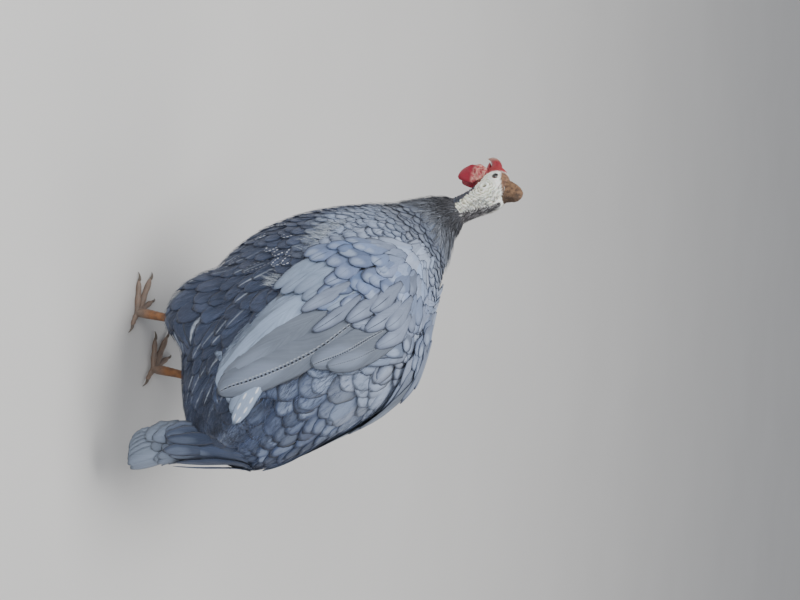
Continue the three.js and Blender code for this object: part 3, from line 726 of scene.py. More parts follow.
def coat_look(u, v, rng):
    """Ground colour and marks of body feathers from their roots' places. Pale covers the mantle and the
    sides of the breast, rear grows to the tail, and flank and breast share what lies below."""
    t, angle = torso_u(u), turned(v)
    edge = 2.05 - 0.3 * smoothstep(0.25, 0.33, t) - 0.75 * smoothstep(0.33, 0.5, t)
    pale = falling(edge - 0.15, edge + 0.1, angle)
    rear = smoothstep(0.48, 0.7, t)
    collar = 1 - smoothstep(0.1, 0.16, t) * smoothstep(0.99, 1.03, u / NECK_END)
    flank = (1 - pale) * smoothstep(0.38, 0.5, t) * falling(0.86, 0.96, t)
    breast = (1 - pale) * falling(0.4, 0.52, t) * (1 - collar)
    n = len(u)
    cloud = patches(skin_at(u, v, 0.0))
    mix = lambda first, second, share: first + (second - first) * share[:, None]
    plume = mix(mix(mix(np.tile(SLATE, (n, 1)), MANTLE, pale), RUMP, pale * rear), COLLAR, collar * 0.8)
    shadow = (0.12 + 0.35 * rear) * cloud
    plume = plume * (1 + (0.1 - 0.05 * rear) * rng.normal(0, 1, n) + shadow)[:, None]
    plume = plume * (1 + rng.normal(0, 0.03, n)[:, None] * TINT)
    some = lambda share: rng.random(n) < share
    strong = lambda low: rng.uniform(low, 1.0, n)
    marks = np.stack([
        0.04 + 0.75 * pale * falling(0.38, 0.56, t) * (1 - 0.6 * collar),
        flank * some(0.5) * strong(0.35),
        breast * some(0.3) * strong(0.6),
        pale * (0.3 + 0.3 * rear * (cloud > 0)) * strong(0.3),
    ], -1)
    shaft = pale * (1 - rear) * some(0.2) * 0.7
    return np.concatenate([np.clip(plume, 0.01, 1), shaft[:, None]], -1), marks, flank, rear


def under_wing(u, v):
    """True where the folded wing hides the coat."""
    s, t = wing_place(torso_u(u), turned(v))
    return (s > 0.14) & (s < 0.84) & (t > 0.3) & (t < 0.8)


def coat_lean(v, flank):
    """How far feathers turn from straight back: on the flank they slant down to the belly and thigh."""
    return side_of(v) * 0.6 * flank * smoothstep(1.3, 1.9, turned(v)) * falling(2.6, 3.0, turned(v))


def body_coat():
    """Every feather of the trunk and thighs, in four pieces, each a quarter of the way round."""
    rng = np.random.default_rng(7)
    quarters = {"coat_back_left": (back_spacing, 0), "coat_back_right": (back_spacing, -1),
                "coat_belly_left": (belly_spacing, 1), "coat_belly_right": (belly_spacing, 2)}
    template = vane_template(11, 7, 0.5)
    for name, (spacing, quarter) in quarters.items():
        way_round = (quarter * np.pi / 2, (quarter + 1) * np.pi / 2)
        u, v = staggered_rows(skin_at, (NECK_END * 0.97, skin_u(0.975)), way_round, spacing, rng)
        shown = ~under_wing(u, v)
        u, v = u[shown], v[shown]
        plume, marks, flank, rear = coat_look(u, v, rng)
        gap_u, gap_v = spacing(u)
        grown = smoothstep(0.1, 0.3, torso_u(u))
        loose = np.maximum(0.8 * rear, 0.55 * flank)
        n = len(u)
        roots = {
            "u": u, "v": v, "length": gap_u * (3.1 + 0.9 * rear) * rng.uniform(0.88, 1.12, n),
            "width": gap_v * (1.7 + 0.3 * loose - 0.25 * flank) * rng.uniform(0.9, 1.1, n),
            "lean": coat_lean(v, flank) + rng.normal(0, 0.09, n),
            "lift": COAT * (0.7 + 0.25 * grown) + rng.uniform(-0.4, 0.7, n) * (1 - loose),
            "sink": 0.6, "camber": 0.035 * gap_v, "tilt": rng.normal(0, 0.2, n) * (1 - loose),
            "plume": plume, "marks": marks,
        }
        dressed(lay_feathers(name, skin_at, skin_unwrap, roots, template, rng), BODY_PLUMAGE, "plumage")


body_coat()

# %% [markdown]
# The wing's small feathers root in its own surface, in tiers from the shoulder back. A real wing has its
# lesser and median coverts there. One rule makes both, because each tier grows longer than the last.

# %% Roots of the wing's feathers
COVERT = np.array([0.145, 0.195, 0.325])
SECONDARY = np.array([0.315, 0.4, 0.55])
TERTIAL = np.array([0.145, 0.17, 0.215])
SCAPULAR = np.array([0.185, 0.22, 0.3])


def covert_roots(rng):
    """Tiers of coverts from the shoulder back, as places (s, t) on the wing, every other one shifted by
    half a feather. Those that secondaries, scapulars or tertials would lie on are left out."""
    tiers = []
    for tier, s in enumerate(np.arange(-0.05, 0.36, 0.052)):
        count, lower, upper = (12, 0.92, -0.1) if tier < 2 else (16, 0.96, -0.3)
        t = np.linspace(lower, upper, count) + (0.5 / count if tier % 2 else 0)
        slant = 0.05 * (1 - t) * smoothstep(4, 7, tier)
        tiers.append(np.stack([s + slant, np.minimum(t, 0.98), np.full(count, float(tier))], -1))
    s, t, tier = np.concatenate(tiers).T
    hidden = ((s > 0.25) & (t > 0.72)) | ((s > 0.15) & (t < -0.05))
    hidden = hidden | ((s > 0.29) & (t > 0.15) & (t < 0.45))
    s, t, tier = s[~hidden], t[~hidden], tier[~hidden]
    n = len(s)
    s = s + rng.normal(0, 0.01, n)
    t = t + rng.normal(0, 0.016, n)
    grown = smoothstep(0, 7, tier)
    plume = COVERT + (SCAPULAR - COVERT) * (falling(0.25, 0.5, t) * grown)[:, None]
    plume = plume + (MANTLE - plume) * falling(0, 4, tier)[:, None]
    plume = plume * (1 + 0.1 * rng.normal(0, 1, n) + 0.18 * patches(on_wing(s, t)))[:, None]
    plume = plume * (1 + rng.normal(0, 0.035, n)[:, None] * TINT)
    shaft = (rng.random(n) < 0.25) * rng.uniform(0.4, 0.9, n)
    marks = np.stack([rng.uniform(0.3, 0.6, n), 0 * s, 0 * s, rng.uniform(0.1, 0.9, n)], -1)
    length = (27 + 13 * grown) * rng.uniform(0.88, 1.12, n)
    width = (15 + 5 * grown) * rng.uniform(0.85, 1.12, n)
    lean = rng.normal(0, 0.1, n) - 0.04
    stand = 0.3 + (2.2 + 0.5 * grown) * smoothstep(-0.3, 0.3, t) + rng.uniform(-0.4, 0.6, n)
    stand = stand - 7.0 * falling(-0.06, 0.15, s) - 1.5 * falling(-0.25, 0.15, t)
    return {"u": s, "v": t, "length": length, "width": width, "lean": lean, "lift": stand, "sink": 0.8,
            "camber": 0.6, "tilt": rng.normal(0, 0.2, n),
            "plume": np.concatenate([plume, shaft[:, None]], -1), "marks": marks}


# %% [markdown]
# A long feather follows its own line over the wing. The line is a smooth curve through a few places,
# each a share of the trunk's length and degrees round it. The vane's lower half may be wider than the
# upper one, as on a real wing, so the shaft is not in its middle.

# %% Long feathers along their lines
def lay_along(name, surface, unwrap, lines, template, rng):
    """One mesh of long vanes. A point (a, c) is the surface at the line's place at a, moved across by
    c times the half width of its side, at right angles to the line within the surface."""
    a, c, w, sign, faces = template
    points, bake, plumes, marks = [], [], [], []
    for line in lines:
        path = np.asarray(line["path"], float)
        place = spline(path, a)
        way = spline(path, np.minimum(a + 0.01, 1)) - spline(path, np.maximum(a - 0.01, 0))
        per_u, per_v = tangents(surface, place[:, 0], place[:, 1])
        way = unit(way * np.stack([per_u, per_v], -1))
        slow, quick = rng.uniform(0, FULL_TURN), rng.uniform(0, FULL_TURN)
        wave = 1 + 0.02 * np.sin(a * 31 + slow) + 0.015 * np.sin(a * 73 + quick)
        upper_half, lower_half = line["halves"]
        y = np.where(c > 0, lower_half, upper_half) * c * w * wave
        u = place[:, 0] - way[:, 1] * y / per_u
        v = place[:, 1] + way[:, 0] * y / per_v
        low, high = line["lifts"]
        lift = low + (high - low) * a**0.85 + line["camber"] * (1 - np.abs(c) ** 1.5) + 0.2 * sign
        points.append(surface(u, v, lift + line.get("tilt", 0) * c))
        bake.append(patch(unwrap(path[:1, 0], path[:1, 1]), a, c))
        plumes.append(np.tile([*line["plume"], line.get("shaft", 0.0)], (len(a), 1)))
        marks.append(np.tile(line["marks"], (len(a), 1)))
    all_faces = copies(faces, len(lines), len(a))
    print(f"{name}: {len(lines)} long vanes, {len(all_faces) * 2} triangles")
    uv = {"OFBake": np.concatenate(bake), "Vane": np.tile(vane_uv(a, c), (len(lines), 1))}
    return mesh_piece(name, np.concatenate(points), all_faces, uv,
                      {"plume": np.concatenate(plumes), "marks": np.concatenate(marks)})


def in_radians(path):
    return np.asarray(path, float) * np.array([1, np.pi / 180])


SECONDARY_COUNT, SECONDARY_STEP = 7, 1.25  # how many, and degrees from one to the next
SECONDARY_PATH = [(0.40, 61), (0.56, 71), (0.70, 74.5), (0.83, 80), (0.89, 86)]
TERTIAL_PATHS = {
    "under": ([(0.44, 55), (0.56, 59), (0.70, 64.5), (0.82, 73), (0.885, 84.5)], (17, 17)),
    "long": ([(0.44, 44), (0.55, 46), (0.668, 47.5), (0.766, 53.5), (0.84, 65), (0.901, 84)], (15, 25)),
    "middle": ([(0.40, 29), (0.50, 33.5), (0.60, 37), (0.695, 42)], (14, 17)),
    "short": ([(0.38, 20), (0.48, 25), (0.58, 30), (0.665, 36)], (13, 13)),
}
SCAPULAR_PATHS = [
    ([(0.43, 52), (0.53, 53), (0.618, 55.5)], (9, 9)), ([(0.42, 60), (0.51, 63), (0.59, 66.5)], (9, 11)),
    ([(0.36, 44), (0.45, 46), (0.53, 48)], (11, 11)), ([(0.33, 32), (0.42, 35), (0.51, 38.5)], (11, 12)),
    ([(0.33, 20), (0.42, 23), (0.52, 28)], (12, 12)), ([(0.29, 26), (0.37, 28), (0.45, 32)], (12, 12)),
    ([(0.29, 38), (0.37, 41), (0.45, 44)], (11, 11)),
]
SCAPULAR_WIDTH = 0.86


def secondary_lines(rng):
    """The secondaries, the hidden ones first: each next one lies a step higher and on top."""
    lines = []
    for k in range(SECONDARY_COUNT):
        down = SECONDARY_COUNT - 1 - k
        path = in_radians(SECONDARY_PATH) + np.radians([0, SECONDARY_STEP * down])
        path[:, 1] = np.minimum(path[:, 1], np.radians(88.5))
        path[-1, 0] -= 0.017 * down
        path[-2, 0] -= 0.008 * down
        lines.append({"path": path, "halves": (25, 15), "lifts": (-3.6 + 0.5 * k, -3.0 + 0.62 * k),
                      "camber": 1.0, "tilt": -0.3, "plume": SECONDARY * rng.uniform(0.92, 1.08),
                      "shaft": 0.25, "marks": (0.22, 0.0, 0.0, 0.1)})
    return lines


def greater_covert_lines(rng):
    """A row of long smooth coverts over the quills of the secondaries."""
    lines = []
    for k, angle in enumerate(np.linspace(86, 52, 7)):
        start = 0.40 + 0.01 * np.sin(k * 2.1)
        path = [(start, angle - 3), (start + 0.08, angle - 1), (start + 0.17 - 0.004 * k, angle + 1.5)]
        lines.append({"path": in_radians(path), "halves": (11, 12), "lifts": (-0.5, 1.4 + 0.16 * k),
                      "camber": 0.9, "plume": SECONDARY * 0.78 * rng.uniform(0.88, 1.06),
                      "shaft": 0.3 * (k % 2), "marks": (0.35, 0.0, 0.0, 0.25)})
    return lines


def tertial_lines(_):
    """The tertials, each next one shorter, higher and on top. The long one has the strongest shaft."""
    lines = []
    looks = {"under": (1.12, 0.0), "long": (1.05, 1.0), "middle": (1.0, 0.85), "short": (1.0, 0.3)}
    for k, (key, (tone, shaft)) in enumerate(looks.items()):
        path, halves = TERTIAL_PATHS[key]
        lines.append({"path": in_radians(path), "halves": halves,
                      "lifts": (0.2 + 0.45 * k, 1.0 + 0.75 * k), "camber": 1.4,
                      "plume": TERTIAL * tone, "shaft": shaft, "marks": (0.12, 0.0, 0.0, 0.35)})
    return lines


def scapular_lines(rng):
    """The scapulars, which reach from the shoulder over the quills of the tertials."""
    lines = []
    for k, (path, halves) in enumerate(SCAPULAR_PATHS):
        lines.append({"path": in_radians(path), "halves": SCAPULAR_WIDTH * np.array(halves),
                      "lifts": (1.6, 3.6 + 0.25 * (k % 3)), "camber": 1.3,
                      "plume": SCAPULAR * 1.05 * rng.uniform(0.82, 1.12),
                      "shaft": (0.9, 0.2, 0.5)[k % 3], "marks": (0.45, 0.0, 0.0, 0.4)})
    return lines


def primary_lines(_):
    """Tips of the primaries, in the trunk's own coordinates, the topmost with pale spots."""
    lines = []
    for k in range(4):
        path = in_radians([(0.68, 66 + 3 * k), (0.82, 60 + 5 * k), (0.945 - 0.018 * k, 59 + 7 * k)])
        tone, dots = (0.75, 0.0) if k else (1.05, 1.0)
        lines.append({"path": path, "halves": (8.5, 8.5), "lifts": (3.5, 3.6 - 0.6 * k), "camber": 0.8,
                      "tilt": 0.3, "plume": SECONDARY * tone, "marks": (0.1, 0.0, dots, 0.4)})
    return lines[::-1]


def wing_pad(name, surface, unwrap):
    """A pad in the tertials' colour under the wing's feathers, so that no gap among them shows through:
    the wing's surface between its edges, sunk and with a lower layer, as one closed pillow."""
    a, c, _, sign, faces = vane_template(40, 25, 0.1)
    s, t = 0.1 + 0.86 * a, 0.52 + 0.42 * c
    look = {"plume": np.tile([*TERTIAL, 0.0], (len(a), 1)), "marks": np.zeros((len(a), 4))}
    return mesh_piece(name, surface(s, t, -3.9 + 1.4 * sign), faces,
                      {"OFBake": unwrap(s, t), "Vane": vane_uv(a, c)}, look)


def make_wing(side):
    """The pad, long feathers, scapulars and coverts of one wing, each in its own piece."""
    left = side == "left"
    rng = np.random.default_rng(31 if left else 32)
    turn = (lambda surface: surface) if left else mirror
    trunk_unwrap = lambda u, v: skin_unwrap(skin_u(u), v if left else -v)
    wing_unwrap = lambda s, t: trunk_unwrap(*trunk_place(s, t))
    shell, pointed = turn(wing_shell), vane_template(18, 9, 0.62)
    long_ones = (
        ("wing_primaries", turn(on_torso), primary_lines, vane_template(22, 7, 0.25), WING_PLUMAGE),
        ("wing_secondaries", shell, secondary_lines, vane_template(28, 11, 0.2), WING_PLUMAGE),
        ("wing_tertials", shell, tertial_lines, vane_template(40, 13, 0.3), TERTIAL_PLUMAGE),
        ("wing_great_coverts", shell, greater_covert_lines, pointed, WING_PLUMAGE),
        ("scapulars", shell, scapular_lines, pointed, WING_PLUMAGE),
    )
    pieces = [(wing_pad(f"wing_pad_{side}", turn(on_wing), wing_unwrap), WING_PLUMAGE)]
    for name, surface, lines, template, paint in long_ones:
        piece = lay_along(f"{name}_{side}", surface, trunk_unwrap, lines(rng), template, rng)
        pieces.append((piece, paint))
    coverts = lay_feathers(f"wing_coverts_{side}", turn(on_wing), wing_unwrap, covert_roots(rng),
                           vane_template(13, 7, 0.5), rng)
    pieces.append((coverts, WING_PLUMAGE))
    for piece, paint in pieces:
        if not left:
            piece.data.flip_normals()
        nodes = [f"wing_{side}"] if "secondaries" in piece.name else []
        dressed(piece, paint, "wing_feathers", *nodes)


for wing_side in ("left", "right"):
    make_wing(wing_side)

# %% [markdown]
# ## Tail
# The tail hangs below the rump as a low roof. The rectrices are stacked from the outer pair up to the
# middle. Coverts lie over their quills, and the upper rows of coverts root in the rump and come down
# over the end of the trunk, which would show as a bare pole without them.

# %% The tail's surface and feathers
TAIL_LINE = np.array([[116, 146], [140, 112], [159, 78], [172, 45.0]])
TAIL_HALF_WIDTH, TAIL_ROOF, TAIL_LENGTH = 31.0, 15.0, 118.0
RECTRIX = np.array([0.205, 0.245, 0.315])
RECTRIX_SPREAD = (0.74, 0.66, 0.57, 0.46, 0.33, 0.16)  # how far out each pair lies, the outer one first
# Rows of tail coverts, the lowest first: place along the tail, number, length, how high the root and the
# tip stand over the tail, and the share of the tail's own colour.
TAIL_COVERT_ROWS = [(0.38, 7, 42, 0, 3.5, 1.0), (0.27, 8, 46, 6, 4.5, 0.8), (0.15, 9, 52, 20, 5.5, 0.5),
                    (0.05, 9, 60, 38, 7, 0.25), (-0.05, 9, 66, 58, 9, 0.1)]


def on_tail(a, b, lift=0.0):
    """The tail's roof: its line, spread sideways by b, and lowered by the square of b."""
    a, b, lift = alike(a, b, lift)
    line, forward = spline(TAIL_LINE, a), direction(TAIL_LINE, np.clip(a, 0, 1))
    line = line + forward * ((a - np.clip(a, 0, 1)) * TAIL_LENGTH)[..., None]
    return off_line(b * TAIL_HALF_WIDTH * (0.8 + 0.2 * a), line, forward, lift - TAIL_ROOF * b * b)


def tail_unwrap(a, b):
    """The skin's unwrap where the tail's feathers root: its last few rows, by side."""
    return skin_unwrap(0.93 + 0.05 * np.clip(a, 0, 1), (0.35 * np.asarray(b)) % (2 * np.pi))


def make_tail():
    """The rectrices in pairs from the outer one in, and then the coverts in rows."""
    rng = np.random.default_rng(53)
    lines = []
    for k, outer in enumerate(RECTRIX_SPREAD):
        for side in (-1, 1):
            end = 0.9 + 0.02 * k + rng.uniform(-0.01, 0.01)
            path = [(0.0, side * outer * 0.55), (0.5, side * outer * 0.8), (end, side * outer * 0.92)]
            lines.append({"path": path, "halves": (14, 14), "camber": 1.2, "tilt": 0.3 * side,
                          "lifts": (-4.5 + 0.5 * k, 1.05 * k - 2.8 + (0.5 if side > 0 else 0)),
                          "plume": RECTRIX * rng.uniform(0.94, 1.06), "shaft": 0.15,
                          "marks": (0.08, 0.0, 0.0, 0.35)})
    quills = lay_along("tail_rectrices", on_tail, tail_unwrap, lines, vane_template(26, 9, 0.22), rng)
    dressed(quills, TAIL_PLUMAGE, "tail_feathers", "tail")
    rows = []
    for row, (a, count, *same) in enumerate(TAIL_COVERT_ROWS):
        b = np.linspace(-0.95, 0.95, count) * (1 + 0.03 * row) + rng.normal(0, 0.03, count)
        rows.append(np.column_stack([a + rng.normal(0, 0.012, count), b, np.tile(same, (count, 1))]))
    a, b, length, start, end, share = np.concatenate(rows).T
    n = len(a)
    plume = RUMP + (0.75 * RECTRIX - RUMP) * share[:, None]
    plume = plume * (1.1 + 0.07 * rng.normal(0, 1, n) + 0.2 * patches(on_tail(a, b)))[:, None]
    roots = {"u": a, "v": b,
             "length": length * rng.uniform(0.88, 1.12, n), "width": rng.uniform(15, 21, n),
             "lean": -0.12 * b + rng.normal(0, 0.07, n), "lift": end + rng.uniform(-0.4, 0.5, n),
             "sink": -start, "camber": 1.4, "tilt": rng.normal(0, 0.4, n),
             "plume": np.concatenate([plume, 0 * plume[:, :1]], -1),
             "marks": np.stack([np.full(n, 0.05), 0 * a, 0 * a, rng.uniform(0.1, 0.4, n)], -1)}
    coverts = lay_feathers("tail_coverts", on_tail, tail_unwrap, roots, vane_template(15, 7, 0.55), rng)
    dressed(coverts, BODY_PLUMAGE, "tail_feathers")


make_tail()

# %% [markdown]
# ## Skin
# The skin's mesh is finest on the head and neck, where it shows. Its folds are real: they run round the
# ear, over the cheek and down the side of the neck. Each eye has a rim and a socket, and behind it is
# the ear's opening.

# %% The skin's detail and mesh
EAR = np.array([13.4, -211.0, 349.5])


def half_places(points):
    """The points' coordinates, with x as the distance from the midplane."""
    x, y, z = np.moveaxis(points, -1, 0)
    return np.abs(x), y, z


def from_side(points, spot):
    """Distance of points from a spot, as seen from the side."""
    return np.linalg.norm((points - spot)[..., 1:], axis=-1)


def down_the_neck(points):
    """Millimetres down the neck from the back of the head."""
    return (points[..., 1] + 212) * 0.6 - (points[..., 2] - 340) * 0.8


def ruffles(points):
    """Folds of loose skin, from -1 to 1: sines of the distance from the ear, bent by slower sines."""
    x, y, z = half_places(points)
    reach = from_side(points, EAR)
    drift = 1.3 * np.sin(x * 0.5 + z * 0.3) + 1.5 * np.sin(y * 0.5 + x * 0.24 + 1)
    drift = drift + 1.2 * np.sin(z * 0.8 - y * 0.6)
    broad = np.sin(reach * 1.9 + drift)
    fine = 0.35 * np.sin(reach * 3.4 - drift * 1.4 + z * 0.9)
    across = 0.4 * np.sin(y * 1.1 + z * 0.9 + 1.5 * np.sin(z * 0.5))
    return (broad + fine + across) / 1.75


def ruffled(points):
    """Where the loose skin is: the cheek behind the eye and the side of the neck."""
    down = down_the_neck(points)
    where = smoothstep(-27, -11, down) * falling(34, 46, down) * smoothstep(2, 7, np.abs(points[..., 0]))
    where = where * smoothstep(4.2, 6.0, from_side(points, EAR))
    return where * smoothstep(6, 9, from_side(points, EYE))


def face_detail(points, u):
    """How far each point of the skin moves out, in millimetres: ruffles, a rim and a hollow round each
    eye, a rim and a pit at each ear, and fine pores."""
    x, y, z = half_places(points)
    from_eye, from_ear = from_side(points, EYE), from_side(points, EAR)
    eye = 0.8 * np.exp(-((from_eye - 5.2) / 1.2) ** 2) - 2.4 * falling(3.0, 4.5, from_eye)
    ear = 1.3 * np.exp(-((from_ear - 3.9) / 1.0) ** 2) - 3.2 * falling(1.4, 3.2, from_ear)
    lore = 0.5 * np.sin(y * 1.9 - z * 0.9) * falling(-239, -234, y)
    pores = 0.1 * np.sin(x * 2.7 + z * 3.1) * np.sin(y * 3.3 - z * 1.3)
    detail = smoothstep(5, 9, x) * (eye + ear) + ruffles(points) * ruffled(points) + lore + pores
    return detail * falling(NECK_END * 0.85, NECK_END, u)


def skin_shown(u, v):
    """The skin with its folds: each point moved along its ray from the middle line."""
    points = skin_at(u, v)
    _, ray, _ = spokes(points, u)
    return points + ray * face_detail(points, u)[..., None]


def zones(points, u, v):
    """Where the skin is slate (throat and under the coat), red (round the bill), brown (crown) and
    bristled (nape), as four strengths from 0 to 1."""
    x, y, z = half_places(points)
    angle, down = turned(v), down_the_neck(points)
    edge = 2.5 - 0.6 * smoothstep(-4, 10, down) - 0.42 * smoothstep(10, 32, down)
    edge = edge + 0.07 * np.sin(down * 0.9)
    throat = smoothstep(edge - 0.08, edge + 0.08, angle) * smoothstep(-6, 0, down)
    coat = smoothstep(NECK_END * 0.82, NECK_END * 0.95, u)
    ragged = 1.3 * np.sin(x * 1.9 + y * 1.3) * np.sin(y * 2.1 - x)
    red = falling(-236.5, -232.0, y + 0.3 * (z - 352) + 0.8 * ragged)
    crown = smoothstep(364, 366.5, z - 0.28 * (y + 222) + 0.8 * ragged) * smoothstep(-240, -234, y)
    strip = 0.22 + 0.36 * smoothstep(-8, 22, down)
    nape = falling(strip - 0.05, strip + 0.1, angle + 0.08 * np.sin(down * 2.3))
    nape = nape * smoothstep(-12, -5, down)
    return np.stack([np.maximum(throat, coat), red, crown, nape], -1)


def face_paint():
    """Creamy white skin with painted shade in its folds, grey-green in shallow valleys and near black in
    deep ones, red round the bill, tan on the crown, slate at the throat and under the coat."""
    paint = Paint("bare_face", Roughness=0.5, Subsurface_Weight=0.1, Subsurface_Scale=0.002)
    slate, red, crown = paint.split(paint.attribute("zone", 1))
    nape = paint.attribute("zone", 3)
    fold, _, _ = paint.split(paint.attribute("fold_shade", 1))
    blotch, vein = paint.noise(220.0, 4.0), paint.noise(800.0, 4.0)
    colour = paint.dab((0.95, 0.96, 0.92), (0.84, 0.85, 0.7), blotch, 0.4, 0.65, 0.5)
    colour = paint.dab(colour, (0.42, 0.42, 0.36), vein, 0.5, 0.72, 0.3)
    # Painted shade: the fold values are low in the ruffles' valleys, the ear's pit and the groove round
    # each lid
    shallow_fold_shade = paint.fall(fold + (vein - 0.5) * 0.5, 0.3, 0.8)
    colour = paint.blend(shallow_fold_shade * 0.6, colour, (0.5, 0.5, 0.3))
    deep_fold_shade = paint.fall(fold + (vein - 0.5) * 0.3, 0.06, 0.34)
    colour = paint.blend(deep_fold_shade * 0.92, colour, (0.1, 0.1, 0.075))
    colour = paint.dab(colour, (0.34, 0.026, 0.034), blotch + red * 0.4, 0.35, 0.6, red)
    tan = paint.dab((0.27, 0.145, 0.08), (0.12, 0.06, 0.035), blotch, 0.4, 0.6)
    dark = paint.dab((0.03, 0.033, 0.05), (0.07, 0.075, 0.1), vein, 0.4, 0.6)
    for where, patch_colour in ((crown, tan), (slate, dark), (nape, (0.06, 0.055, 0.055))):
        colour = paint.blend(where, colour, patch_colour)
    paint.bump(vein * 0.8 + paint.cells(1300.0) * 0.5, 0.0004, 0.7)
    return paint.set(Base_Color=colour)


FACE_PAINT = face_paint()


def make_skin():
    """One grid, finer before the change at the neck's foot. Zones and painted fold shade are stored per
    point.
    """
    change = NECK_END * 0.86
    u = np.concatenate([np.linspace(0, change, 190), np.linspace(change, 1, 110)[1:]])
    v = np.linspace(0, 2 * np.pi, 216, endpoint=False)
    grid_u, grid_v = grids(u, v)
    points = skin_shown(grid_u, grid_v)
    points[[0, -1]] = points[[0, -1]].mean(1, keepdims=True)
    base = skin_at(grid_u, grid_v)
    # Painted shade for the face paint: fold is low in the ruffles' valleys, and lower still in each
    # ear's pit
    fold = 1 - (0.5 - 0.5 * ruffles(base)) * ruffled(base)
    ear_pit_shade = falling(1.8, 3.2, from_side(base, EAR)) * smoothstep(5, 9, np.abs(base[..., 0]))
    colours = {"zone": zones(points, grid_u, grid_v).reshape(-1, 4),
               "fold_shade": np.repeat(np.minimum(fold, 1 - ear_pit_shade).reshape(-1, 1), 4, axis=1)}
    unwrap = np.stack([grid_u, grid_v / (2 * np.pi)], -1).reshape(-1, 2)
    faces = ring_faces(len(u), len(v))
    piece = facing_out(mesh_piece("skin", points.reshape(-1, 3), faces, {"OFBake": unwrap}, colours))
    dressed(piece, FACE_PAINT, "bare_skin", "torso", "neck", "head", "thigh_left", "thigh_right")
    print("skin:", len(piece.data.polygons) * 2, "triangles")


make_skin()

# %% [markdown]
# ## Ruff and nape
# The ruff is a shaggy collar of narrow, loose feathers round the neck's foot. The nape has a strip of
# short bristles. Both are flat tapered locks, thinner and many more than those of the solids. Finer
# locks of the same kind are the loose barbs of the coat, which a real feather has by the hundred.

# %% Locks round the neck
def lay_locks(name, curve, width, thickness, shades, unwrap, steps=7):
    """Locks along curves p = (1-t)^2 start + 2t(1-t) bend + t^2 tip, with their flat side outward. The
    section is a flat diamond that tapers to the tip."""
    start, bend, tip, outward = (part[:, None] for part in curve)
    t_line = np.linspace(0, 1, steps)
    t = t_line[None, :, None]
    centre = (1 - t) ** 2 * start + 2 * t * (1 - t) * bend + t**2 * tip
    forward = unit(2 * (1 - t) * (bend - start) + 2 * t * (tip - bend))
    side = unit(np.cross(outward, forward))
    taper = (np.minimum(1, 0.55 + 1.6 * t_line) * (1 - 0.97 * t_line**1.7))[None, :, None]
    across = side * taper * width[:, None, None] / 2
    over = np.cross(forward, side) * taper * thickness / 2
    rings = np.stack([centre - across, centre + over, centre + across, centre - over], 2)
    count, size = len(shades), 4 * steps
    quads = np.vstack([ring_faces(steps, 4), [[3, 2, 1, 0]], [size - 4 + np.arange(4)]])
    faces = copies(quads, count, size)
    bake = patch(unwrap[:, None], np.repeat(t_line, 4), np.tile([-1, 0, 1, 0], steps))
    shade = np.repeat(np.concatenate([shades, np.ones((count, 1))], -1), size, axis=0)
    print(f"{name}: {count} locks, {len(faces) * 2} triangles")
    return mesh_piece(name, rings.reshape(-1, 3), faces, {"OFBake": bake.reshape(-1, 2)},
                      {"plume": shade})


def lock_paint():
    paint = Paint("fine_locks", Roughness=0.85, Sheen_Weight=0.15)
    colour = paint.shade(paint.attribute("plume", 0), paint.noise(160.0) * 0.8 + 0.6)
    return paint.set(Base_Color=colour)


LOCK_PAINT = lock_paint()


def combed(u, v, length, lean, rise, rng, spread, outside=5.0):
    """Start, bend and tip of locks that leave the skin at (u, v) and run back along it, turned by lean,
    and the way from the start to outside. rise is how high starts, bends and tips stand."""
    per_u, per_v = tangents(skin_at, u, v)
    du, dv = length * np.cos(lean) / per_u, length * np.sin(lean) / per_v
    stray = rng.normal(0, spread, len(u))
    start = skin_at(u, v, rise[0])
    return (start, skin_at(u + du * 0.4, v + dv * 0.4 + stray * 0.3, rise[1]),
            skin_at(u + du, v + dv + stray, rise[2]), skin_at(u, v, outside) - start)


def make_ruff():
    """Roots down the neck's foot, further down in front than behind. Each lock leaves the skin, bends
    out and lies on the coat. The darkest are at the top."""
    rng = np.random.default_rng(71)
    count = 2300
    v = rng.uniform(0, 2 * np.pi, count)
    front = smoothstep(1.6, 2.8, turned(v))
    share = rng.random(count) ** 1.2
    u = NECK_END * (0.8 + 0.2 * share) + front * share * (skin_u(0.17) - NECK_END)
    length = rng.uniform(11, 21, count) + 5 * front
    lean = rng.normal(0, 0.22, count)
    rise = (-1.0, 3 + rng.uniform(0, 3.5, count), 5.0 + rng.uniform(0, 4.5, count))
    curve = combed(u, v, length, lean, rise, rng, 0.06)
    pale = np.clip(share * 1.3 - 0.25 + rng.normal(0, 0.25, count), 0, 1)[:, None]
    shades = np.array([0.035, 0.036, 0.045]) * (1 - pale) + np.array([0.19, 0.21, 0.25]) * pale
    shades = shades * rng.uniform(0.7, 1.4, (count, 1))
    piece = lay_locks("ruff", curve, rng.uniform(0.9, 2.1, count), 0.45, shades, skin_unwrap(u, v))
    dressed(piece, LOCK_PAINT, "neck_feathers")


